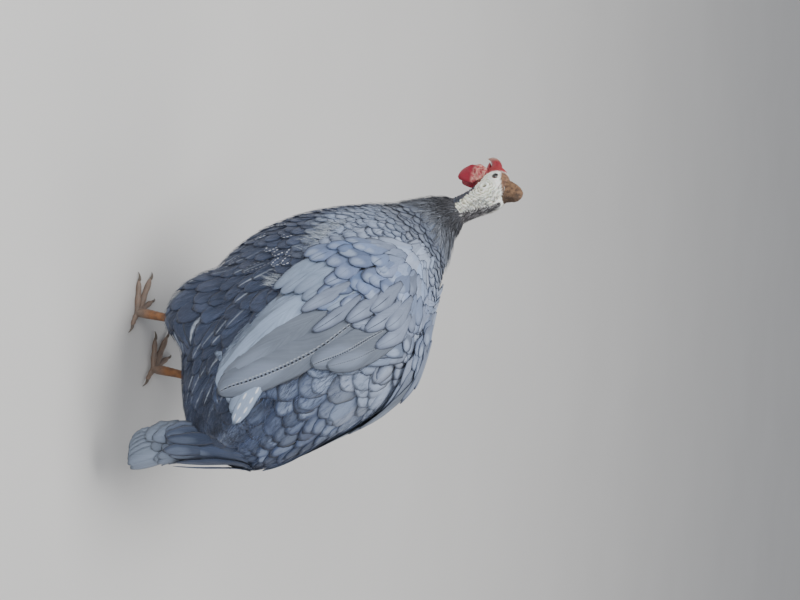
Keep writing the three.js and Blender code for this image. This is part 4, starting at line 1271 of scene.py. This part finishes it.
def make_nape():
    """A narrow strip of bristles up the back of the neck to the casque, and, beside it, pale ones that
    lie on the white skin like combed strokes."""
    rng = np.random.default_rng(72)
    count, pale_count = 900, 520
    n = count + pale_count
    u = NECK_END * np.concatenate([rng.uniform(0.52, 0.9, count), rng.uniform(0.44, 0.88, pale_count)])
    side = rng.choice([-1.0, 1.0], pale_count)
    strip = 0.25 + 0.38 * smoothstep(0.6, 0.82, u[:count] / NECK_END)
    middle = strip * np.clip(rng.normal(0, 0.5, count), -1, 1)
    v = np.concatenate([middle, side * rng.uniform(0.4, 1.1, pale_count)])
    dark = np.arange(n) < count
    length = np.where(dark, rng.uniform(5, 10, n), rng.uniform(3, 6, n))
    lean = rng.normal(0, 0.2, n) - np.where(dark, 0, 0.45 * np.sign(v))
    rise = (-0.5, 0.8 + rng.uniform(0, 0.8, n), 0.5 + rng.uniform(0, 1.6, n) * np.where(dark, 1.4, 0.6))
    curve = combed(u, v, length, lean, rise, rng, 0.06)
    black = np.array([0.085, 0.08, 0.085]) * rng.uniform(0.3, 1.6, (n, 1)) ** 2
    black = black + 0.45 * (rng.random((n, 1)) < 0.12)
    shades = np.where(dark[:, None], black, np.array([0.62, 0.62, 0.6]) * rng.uniform(0.25, 1.1, (n, 1)))
    piece = lay_locks("nape", curve, rng.uniform(0.5, 1.1, n), 0.35, shades, skin_unwrap(u, v))
    dressed(piece, LOCK_PAINT, "neck_feathers")


def make_down():
    """Fine loose barbs over the coat, in two pieces, which soften its edges: roots at random, shades
    from the coat's own look at the same place. White tufts stand before and below the wing."""
    for side, sign, seed in (("left", 1, 81), ("right", -1, 82)):
        rng = np.random.default_rng(seed)
        count = 11500
        u = skin_u(0.12) + (skin_u(0.97) - skin_u(0.12)) * rng.random(count) ** 0.8
        v = sign * np.arccos(rng.uniform(-1, 1, count))
        keep = ~under_wing(u, v) & ((turned(v) > 1.5) | (torso_u(u) > 0.55) | (rng.random(count) < 0.2))
        u, v = u[keep], v[keep]
        plume, _, flank, _ = coat_look(u, v, rng)
        n = len(u)
        length = rng.uniform(8, 18, n) * (0.5 + 0.5 * smoothstep(0.1, 0.5, torso_u(u)))
        lean = coat_lean(v, flank) + rng.normal(0, 0.22, n)
        lift = COAT * (0.75 + 0.25 * smoothstep(0.1, 0.3, torso_u(u)))
        rise = (lift - 2.5, lift + 0.3 + rng.uniform(0, 1.2, n), lift + rng.uniform(0.2, 2.2, n))
        shades = plume[:, :3] * rng.uniform(0.7, 1.7, (n, 1))
        curve = combed(u, v, length, lean, rise, rng, 0.015, rise[0] + 5.0)
        piece = lay_locks(f"down_{side}", curve, rng.uniform(0.35, 0.7, n), 0.2, shades,
                          skin_unwrap(u, v), 3)
        dressed(piece, LOCK_PAINT, "plumage")
        u = skin_u(np.concatenate([rng.normal(0.335, 0.03, 170), rng.normal(0.535, 0.012, 80)]))
        v = np.radians(np.concatenate([rng.normal(96, 2.5, 170), rng.normal(92, 2.0, 80)])) * sign
        n = len(u)
        length, lean = rng.uniform(7, 16, n), sign * rng.uniform(0.5, 1.4, n)
        rise = (3.0, 7.5 + rng.uniform(0, 1.5, n), 6.5 + rng.uniform(0, 1.5, n))
        curve = combed(u, v, length, lean, rise, rng, 0.02, 8.0)
        shades = np.array([0.5, 0.56, 0.64]) * rng.uniform(0.55, 1.2, (n, 1))
        piece = lay_locks(f"tufts_{side}", curve, rng.uniform(0.35, 0.8, n), 0.25, shades,
                          skin_unwrap(u, v), 5)
        dressed(piece, LOCK_PAINT, "plumage")


make_ruff()
make_nape()
make_down()

# %% [markdown]
# ## Eyes and lids
# The eyeball is dark brown with a black pupil and a wet surface. The lid is a fine ring of skin that
# follows the ball, narrower above and below than a plain ring, so that the eye looks set in.


# %% Eyes
def eye_paint():
    paint = Paint("eye_wet", Roughness=0.05, Coat_Weight=1.0, Coat_Roughness=0.02)
    along, _, _ = paint.split(paint.unwrap("OFBake"))
    iris = paint.dab((0.004, 0.004, 0.004), (0.06, 0.032, 0.018), along, 0.23, 0.27)
    return paint.set(Base_Color=paint.dab(iris, (0.02, 0.015, 0.012), along, 0.4, 0.46))


def lid_ring(u, v):
    """A ring of skin round the eye: a circle of points, swept by a small round section."""
    turn, tube = 2 * np.pi * u, v
    radius = 4.15 + 0.95 * np.cos(tube)
    return np.stack([EYE[0] + 1.5 + 0.9 * np.sin(tube) - 0.12 * np.abs(np.sin(turn)) * radius,
                     EYE[1] + radius * 1.06 * np.cos(turn), EYE[2] + radius * 0.95 * np.sin(turn)], -1)


def ring_piece(name, surface, long_way, short_way):
    """A closed ring from surface(u, v), both of which go all the way round."""
    i, j = grids(np.arange(long_way), np.arange(short_way))
    u, v = i / long_way, 2 * np.pi * j / short_way
    after_i, after_j = (i + 1) % long_way, (j + 1) % short_way
    quads = np.stack([i * short_way + j, after_i * short_way + j,
                      after_i * short_way + after_j, i * short_way + after_j], -1).reshape(-1, 4)
    unwrap = np.stack([u, v / (2 * np.pi)], -1).reshape(-1, 2)
    # Painted shade: the lid's outer side, where it meets the skin, gets low fold values, which the face
    # paint darkens as a groove
    rim = 1 - 0.75 * smoothstep(0.4, 1.0, np.cos(v)).reshape(-1, 1)
    marks = {"zone": np.zeros((u.size, 4)), "fold_shade": np.repeat(rim, 4, axis=1)}
    return facing_out(mesh_piece(name, surface(u, v).reshape(-1, 3), quads, {"OFBake": unwrap}, marks))


def make_eyes():
    """Both balls and their lids."""
    paint = eye_paint()
    for side, sign in (("left", 1.0), ("right", -1.0)):
        flip = np.array([sign, 1, 1])

        def ball(u, v):
            polar = np.pi * u
            around = np.stack([np.cos(polar), np.sin(polar) * np.cos(v), np.sin(polar) * np.sin(v)], -1)
            return (EYE + EYE_RADIUS * around) * flip

        dressed(lofted(f"eyeball_{side}", ball, 40, 40, "even"), paint, "eye", f"eye_{side}")
        lid = ring_piece(f"eyelid_{side}", lambda u, v: lid_ring(u, v) * flip, 64, 14)
        dressed(lid, FACE_PAINT, "bare_skin")


make_eyes()

# %% [markdown]
# ## Casque, bill and wattles
# The casque is rough horn over bone. Its roughness is real relief, made of a few sines, plus finer bump.

# %% Horn and red skin
CASQUE = [[-214, 362, 20, 15, 10.5], [-214, 370, 16.5, 13.5, 9], [-213, 377, 13, 11.5, 7.4],
          [-211, 383.5, 10.5, 9.5, 6.2], [-209.5, 390, 8, 7.2, 4.8]]
CASQUE_SHAPE = (2.3, 8, 3.4)
BILL_UPPER = [[-263, 337.5, 1.4, 1, 1.2], [-260.5, 343.5, 4.6, 2.6, 3.2], [-254, 348, 7.4, 3.6, 5.4],
              [-243, 350.5, 9.5, 4.4, 7.6]]
BILL_LOWER = [[-257.5, 341, 1.2, 1.6, 1.6], [-250, 343.2, 1.8, 3.2, 4.2], [-240, 344.5, 2.4, 5, 6.4]]
BILL_SHAPE = (2.0, 2.2, 14)
WATTLE = [[-236.5, 345.5, 8.5, 9, 1.8, 9.4], [-236.5, 336, 13, 12, 2, 9.6],
          [-234.5, 326.5, 13.5, 12.5, 2.2, 9.2], [-231.5, 318.5, 10.5, 10.5, 2.4, 8.6],
          [-228.5, 312.5, 6.5, 6.5, 2.3, 8.2]]
WATTLE_SWING = 4.0  # the right one has swung this far forward
WATTLE_SHAPE = (2.0, 2.2, 2.4)


def casque_surface(u, v):
    """The horn's form with lumps: its surface grown by a sum of sines of place."""
    x, y, z = np.moveaxis(form(CASQUE, CASQUE_SHAPE, u, v), -1, 0)
    lumps = 0.35 * np.sin(y * 0.9 + z * 0.5) * np.sin(x * 1.1 + z * 0.7)
    lumps = lumps + 0.22 * np.sin(y * 2.3 - x * 2.9 + z * 1.7)
    return form(CASQUE, CASQUE_SHAPE, u, v, lumps - 0.2)


def bill_surface(u, v):
    """The upper mandible with a cere that swells at its root and a nostril pit in each side."""
    x, y, z = np.moveaxis(form(BILL_UPPER, BILL_SHAPE, u, v), -1, 0)
    pit = np.exp(-(((y + 253) / 1.9) ** 2 + ((z - 351) / 1.1) ** 2)) * smoothstep(2, 4, np.abs(x))
    swell = 0.35 * smoothstep(-252, -246, y)
    return form(BILL_UPPER, BILL_SHAPE, u, v, swell - 1.3 * pit)


def wattle_surface(u, v, sign=1.0):
    """A cupped lobe: folds cross its upper part as sines along it, and its rim is thick and round."""
    x, y, z = np.moveaxis(form(WATTLE, WATTLE_SHAPE, u, v), -1, 0)
    fold = 0.8 * np.sin(2 * np.pi * 4.2 * u + 1.2 * np.sin(y * 0.35)) * falling(0.35, 0.7, u)
    fine = 0.25 * np.sin(z * 2.6 + y * 0.8) * falling(0.4, 0.75, u)
    x = x - 1.6 * np.cos(v) ** 2 + fold + fine
    return np.stack([x * sign, y - WATTLE_SWING * (sign < 0), z], -1)


def horn_paint():
    """Brown and mottled, with paler flecks, and painted shade that darkens its rear side."""
    paint = Paint("casque_horn", Roughness=0.7)
    rough, fine = paint.noise(260.0, 5.0), paint.noise(1400.0, 3.0)
    y = paint.coordinate(1)
    colour = paint.dab((0.235, 0.13, 0.068), (0.09, 0.047, 0.027), rough, 0.4, 0.62)
    # Painted shade: the rear side of the casque is darkened towards the back, with the mottling in its
    # edge
    behind = y + rough * 0.012
    colour = paint.dab(colour, (0.05, 0.03, 0.02), behind, level(1, -208), level(1, -196), 0.85)
    colour = paint.dab(colour, (0.33, 0.21, 0.125), fine, 0.55, 0.7, 0.5)
    paint.bump(rough + fine * 0.4, 0.0012, 0.9)
    return paint.set(Base_Color=colour)


def bill_paint():
    """Pale horn at the tip, crimson at the root."""
    paint = Paint("bill_horn", Roughness=0.38)
    y = paint.coordinate(1)
    grain = paint.noise(500.0, 4.0)
    colour = paint.dab((0.42, 0.24, 0.18), (0.27, 0.014, 0.026), y, level(1, -263), level(1, -254))
    colour = paint.dab(colour, (0.36, 0.07, 0.06), grain, 0.5, 0.75, 0.4)
    paint.bump(grain, 0.0003, 0.5)
    return paint.set(Base_Color=colour)


def wattle_paint():
    """Pink and wrinkled where the lobe hangs from the jaw, deep red and smoother below."""
    paint = Paint("wattle_skin", Roughness=0.42, Subsurface_Weight=0.15, Subsurface_Scale=0.002)
    z = paint.coordinate(2)
    grain, fine = paint.noise(330.0, 4.0), paint.cells(1500.0)
    pink = paint.dab((0.6, 0.27, 0.22), (0.34, 0.03, 0.045), grain, 0.4, 0.62)
    colour = paint.dab((0.29, 0.004, 0.025), pink, z + grain * 0.004, level(2, 328.5), level(2, 333))
    paint.bump(grain * 0.6 + fine * 0.6, 0.0004, 0.7)
    return paint.set(Base_Color=colour)


dressed(lofted("casque_horn", casque_surface, 70, 84), horn_paint(), "casque_horn", "casque")
BILL_PAINT, WATTLE_PAINT = bill_paint(), wattle_paint()
dressed(lofted("bill_top", bill_surface, 60, 60), BILL_PAINT, "bill_horn", "bill_upper")
jaw = lofted("bill_bottom", lambda u, v: form(BILL_LOWER, BILL_SHAPE, u, v), 40, 48)
dressed(jaw, BILL_PAINT, "bill_horn", "bill_lower")
for lobe_side, lobe_sign in (("left", 1.0), ("right", -1.0)):
    lobe = lofted(f"wattle_lobe_{lobe_side}", lambda u, v, s=lobe_sign: wattle_surface(u, v, s), 90, 64)
    dressed(lobe, WATTLE_PAINT, "red_skin", f"wattle_{lobe_side}")

# %% [markdown]
# ## Legs
# The shank is covered by broad scutes in front and small scales behind, and each toe has narrow
# scutes across it. The scutes are real steps in the surface: a sawtooth along the leg, softened.

# %% Legs and toes
FOOT_SPREAD, STEP_BACK, SHANK_TOP = 35.0, 27.0, 74.0
SHANK = [[9, SHANK_TOP, 6.4, 6, 5.6, FOOT_SPREAD + 2], [8, 58, 4.9, 4.8, 4.4, FOOT_SPREAD + 1],
         [5, 36, 4.6, 4.6, 4.2, FOOT_SPREAD], [2, 14, 5.4, 5.4, 5.4, FOOT_SPREAD],
         [2, 2.2, 5, 5, 5.4, FOOT_SPREAD]]
SHANK_SHAPE = (2.0, 3.0, 3.0)
TOES = {"inner": (34, -32, 3.7), "middle": (46, 2, 4.1), "outer": (36, 34, 3.7), "hind": (17, 186, 3.1)}
CLAW_LENGTH = 9.0
FOOT_HUB = np.array([FOOT_SPREAD, 1.0, 0.0])


def scutes(along, count, depth):
    """A soft sawtooth: each scute swells to its lower edge and steps back under the next."""
    phase = (along * count) % 1.0
    return depth * (phase**1.5 - smoothstep(0.9, 1.0, phase))


def leg_side(points, sign):
    """Carries the left leg's points to the side wanted; the right foot stands a step behind."""
    moved = points * np.array([sign, 1, 1])
    return moved + (np.array([0, STEP_BACK, 0]) if sign < 0 else 0)


def along_toe(heading, reach, beside, height):
    """Points of the left foot: reach ahead of its hub where the toe heads, beside it, at a height."""
    angle = np.radians(heading)
    ahead = np.array([np.sin(angle), -np.cos(angle), 0])
    across = np.array([np.cos(angle), np.sin(angle), 0])
    points = FOOT_HUB + ahead * reach[..., None] + across * beside[..., None]
    points[..., 2] = height
    return points


def toe_surface(u, v, length, heading, girth):
    """A toe: a round section along a line on the floor, flattened where it meets the floor."""
    pads = 1 + 0.1 * np.cos(2 * np.pi * 2.5 * u)
    radius = girth * (1 - 0.28 * u) * pads * closing(np.clip(u, 0, 1), 4, 3.2)
    radius = radius + scutes(u, 11, 0.28) * (np.sin(v) > 0) * closing(u, 4, 4)
    height = girth * 0.9 - (girth * 0.9 - 2.2) * u + radius * np.sin(v)
    return along_toe(heading, -2 + (length + 2) * u, radius * np.cos(v), np.maximum(height, 0.0))


def claw_surface(u, v, length, heading):
    """A claw: a short cone that bends down from the toe's end and thins to its tip."""
    radius = 2.2 * (1 - 0.8 * u) * closing(u, 5, 6)
    height = 2.6 + np.sin(np.pi * u) - 1.9 * u**1.6 + radius * np.sin(v)
    return along_toe(heading, length - 1.2 + (CLAW_LENGTH + 1.0) * u, 0.8 * radius * np.cos(v),
                     np.maximum(height, 0.3))


def shank_surface(u, v):
    """The shank with scutes on its front half and finer scales behind."""
    front = 0.5 - 0.5 * np.cos(v)
    relief = scutes(u, 15, 0.42) * front + 0.12 * np.sin(u * 150) * np.sin(v * 9) * (1 - front)
    return form(SHANK, SHANK_SHAPE, u, v, relief)


def leg_paint():
    """Orange-brown scales with darker patches, greyer towards the foot."""
    paint = Paint("leg_scales", Roughness=0.55)
    grain, fine = paint.noise(150.0, 4.0), paint.noise(900.0, 3.0)
    z = paint.coordinate(2)
    colour = paint.dab((0.3, 0.13, 0.05), (0.16, 0.075, 0.035), grain, 0.35, 0.65)
    colour = paint.blend(paint.fall(z + grain * 0.01, 0.012, 0.03) * 0.75, colour, (0.22, 0.18, 0.15))
    colour = paint.dab(colour, (0.4, 0.3, 0.22), fine, 0.55, 0.75, 0.3)
    paint.bump(paint.cells(700.0) * 0.7 + fine * 0.4, 0.0004, 0.7)
    return paint.set(Base_Color=colour)


def claw_paint():
    paint = Paint("claw_horn", Roughness=0.4)
    grain = paint.noise(600.0, 4.0)
    paint.bump(grain, 0.0002, 0.5)
    return paint.set(Base_Color=paint.blend(grain, (0.05, 0.04, 0.035), (0.2, 0.16, 0.12)))


def make_legs():
    """Shanks, toes and claws of both legs."""
    leg, claw = leg_paint(), claw_paint()
    for side, sign in (("left", 1.0), ("right", -1.0)):
        on_shank = lambda u, v: leg_side(shank_surface(u, v), sign)
        dressed(lofted(f"tarsus_{side}", on_shank, 150, 40, "even"), leg, "scaled_skin", f"shank_{side}")
        for toe, (length, heading, girth) in TOES.items():
            on_toe = lambda u, v: leg_side(toe_surface(u, v, length, heading, girth), sign)
            on_claw = lambda u, v: leg_side(claw_surface(u, v, length, heading), sign)
            dressed(lofted(f"toe_{side}_{toe}", on_toe, 90, 28), leg, "scaled_skin")
            dressed(lofted(f"nail_{side}_{toe}", on_claw, 20, 18), claw, "claw", f"claw_{side}_{toe}")


make_legs()

# %% [markdown]
# ## Stage, light and camera
# A plain pale floor and large soft lights. The photo is taken from behind the bird's left side and
# from above, with the camera turned a quarter turn, so the bird's up is to the right of the picture.

# %% Stage and lights
FLOOR_SIZE = 40.0
LIGHTS = {  # place, power, size and colour
    "sky_light": ((0.6, -0.4, 2.4), 53, 1.6, (1.0, 0.99, 0.97)),
    "side_light": ((2.2, 0.6, 1.3), 26, 1.4, (0.96, 0.98, 1.0)),
    "rim_light": ((-1.8, 1.4, 1.6), 14, 1.2, (1.0, 0.97, 0.93)),
}
BIRD_MIDDLE = Vector((0, 0, 0.2))
SKY_COLOUR, SKY_STRENGTH = (0.9, 0.93, 1.0, 1), 0.5


def make_floor():
    """A plain sheet of pale paper under the bird."""
    mesh = bpy.data.meshes.new("floor")
    half = FLOOR_SIZE / 2
    mesh.from_pydata([(-half, -half, 0), (half, -half, 0), (half, half, 0), (-half, half, 0)], [],
                     [(0, 1, 2, 3)])
    floor = linked("floor", mesh)
    paint = Paint("floor_paper", Roughness=0.9)
    colour = paint.blend(paint.noise(3.0, 2.0), (0.62, 0.61, 0.59), (0.68, 0.67, 0.65))
    mesh.materials.append(paint.set(Base_Color=colour))


def make_lights():
    """Square soft lights that look at the bird's middle, and a pale sky."""
    for name, (place, power, size, colour) in LIGHTS.items():
        light = bpy.data.lights.new(name, "AREA")
        light.energy, light.size, light.color = power, size, colour
        lamp = linked(name, light)
        lamp.location = place
        lamp.rotation_euler = (BIRD_MIDDLE - Vector(place)).to_track_quat("-Z", "Y").to_euler()
    world = bpy.data.worlds.new("studio")
    world.use_nodes = True
    sky = world.node_tree.nodes["Background"].inputs
    sky["Color"].default_value, sky["Strength"].default_value = SKY_COLOUR, SKY_STRENGTH
    bpy.context.scene.world = world
    print("lights:", ", ".join(LIGHTS))


make_floor()
make_lights()

# %% [markdown]
# The camera's turn and rise fit the walls of the photo's room and the bird's usual sizes together. How
# far off it stands and where it looks follow from the place of the left foot in the photo.

# %% Camera
FRAME_WIDTH, FRAME_HEIGHT = 800, 600
FOCAL_PIXELS = 1711.0
SENSOR = 36.0
CAMERA_TURN, CAMERA_RISE, CAMERA_ROLL = np.radians([36.0, 22.0, 3.0])
FOOT_DEPTH = 1886.0  # millimetres from the lens to the left foot, along the view
FOOT_PLACE = np.array([35.0, 0.0, 0.0])
FOOT_PIXEL = (135.3, 311.7)  # where the left foot stands in the photo


def make_camera():
    """The camera's axes from its turn, rise and roll, and its place from where the left foot shows."""
    level = np.array([np.cos(CAMERA_TURN), np.sin(CAMERA_TURN), 0])
    away = np.cos(CAMERA_RISE) * level + np.array([0, 0, np.sin(CAMERA_RISE)])
    right = np.array([-np.sin(CAMERA_TURN), np.cos(CAMERA_TURN), 0])
    up = np.array([0, 0, np.cos(CAMERA_RISE)]) - np.sin(CAMERA_RISE) * level
    bird_right = right * np.cos(CAMERA_ROLL) + up * np.sin(CAMERA_ROLL)
    bird_up = up * np.cos(CAMERA_ROLL) - right * np.sin(CAMERA_ROLL)
    x = (FOOT_PIXEL[0] - FRAME_WIDTH / 2) / FOCAL_PIXELS
    y = (FRAME_HEIGHT / 2 - FOOT_PIXEL[1]) / FOCAL_PIXELS
    place = placed(FOOT_PLACE - FOOT_DEPTH * (bird_up * x - bird_right * y - away))
    data = bpy.data.cameras.new("camera")
    data.sensor_width = SENSOR
    data.lens = FOCAL_PIXELS / FRAME_WIDTH * SENSOR
    camera = linked("camera", data)
    axes = Matrix((bird_up, -bird_right, away)).transposed().to_4x4()
    camera.matrix_world = Matrix.Translation(place) @ axes
    bpy.context.scene.camera = camera
    print("camera at", [round(float(value), 3) for value in place])


make_camera()

# %% [markdown]
# At the end, the view layer is updated.

# %% Update the view layer
bpy.context.view_layer.update()
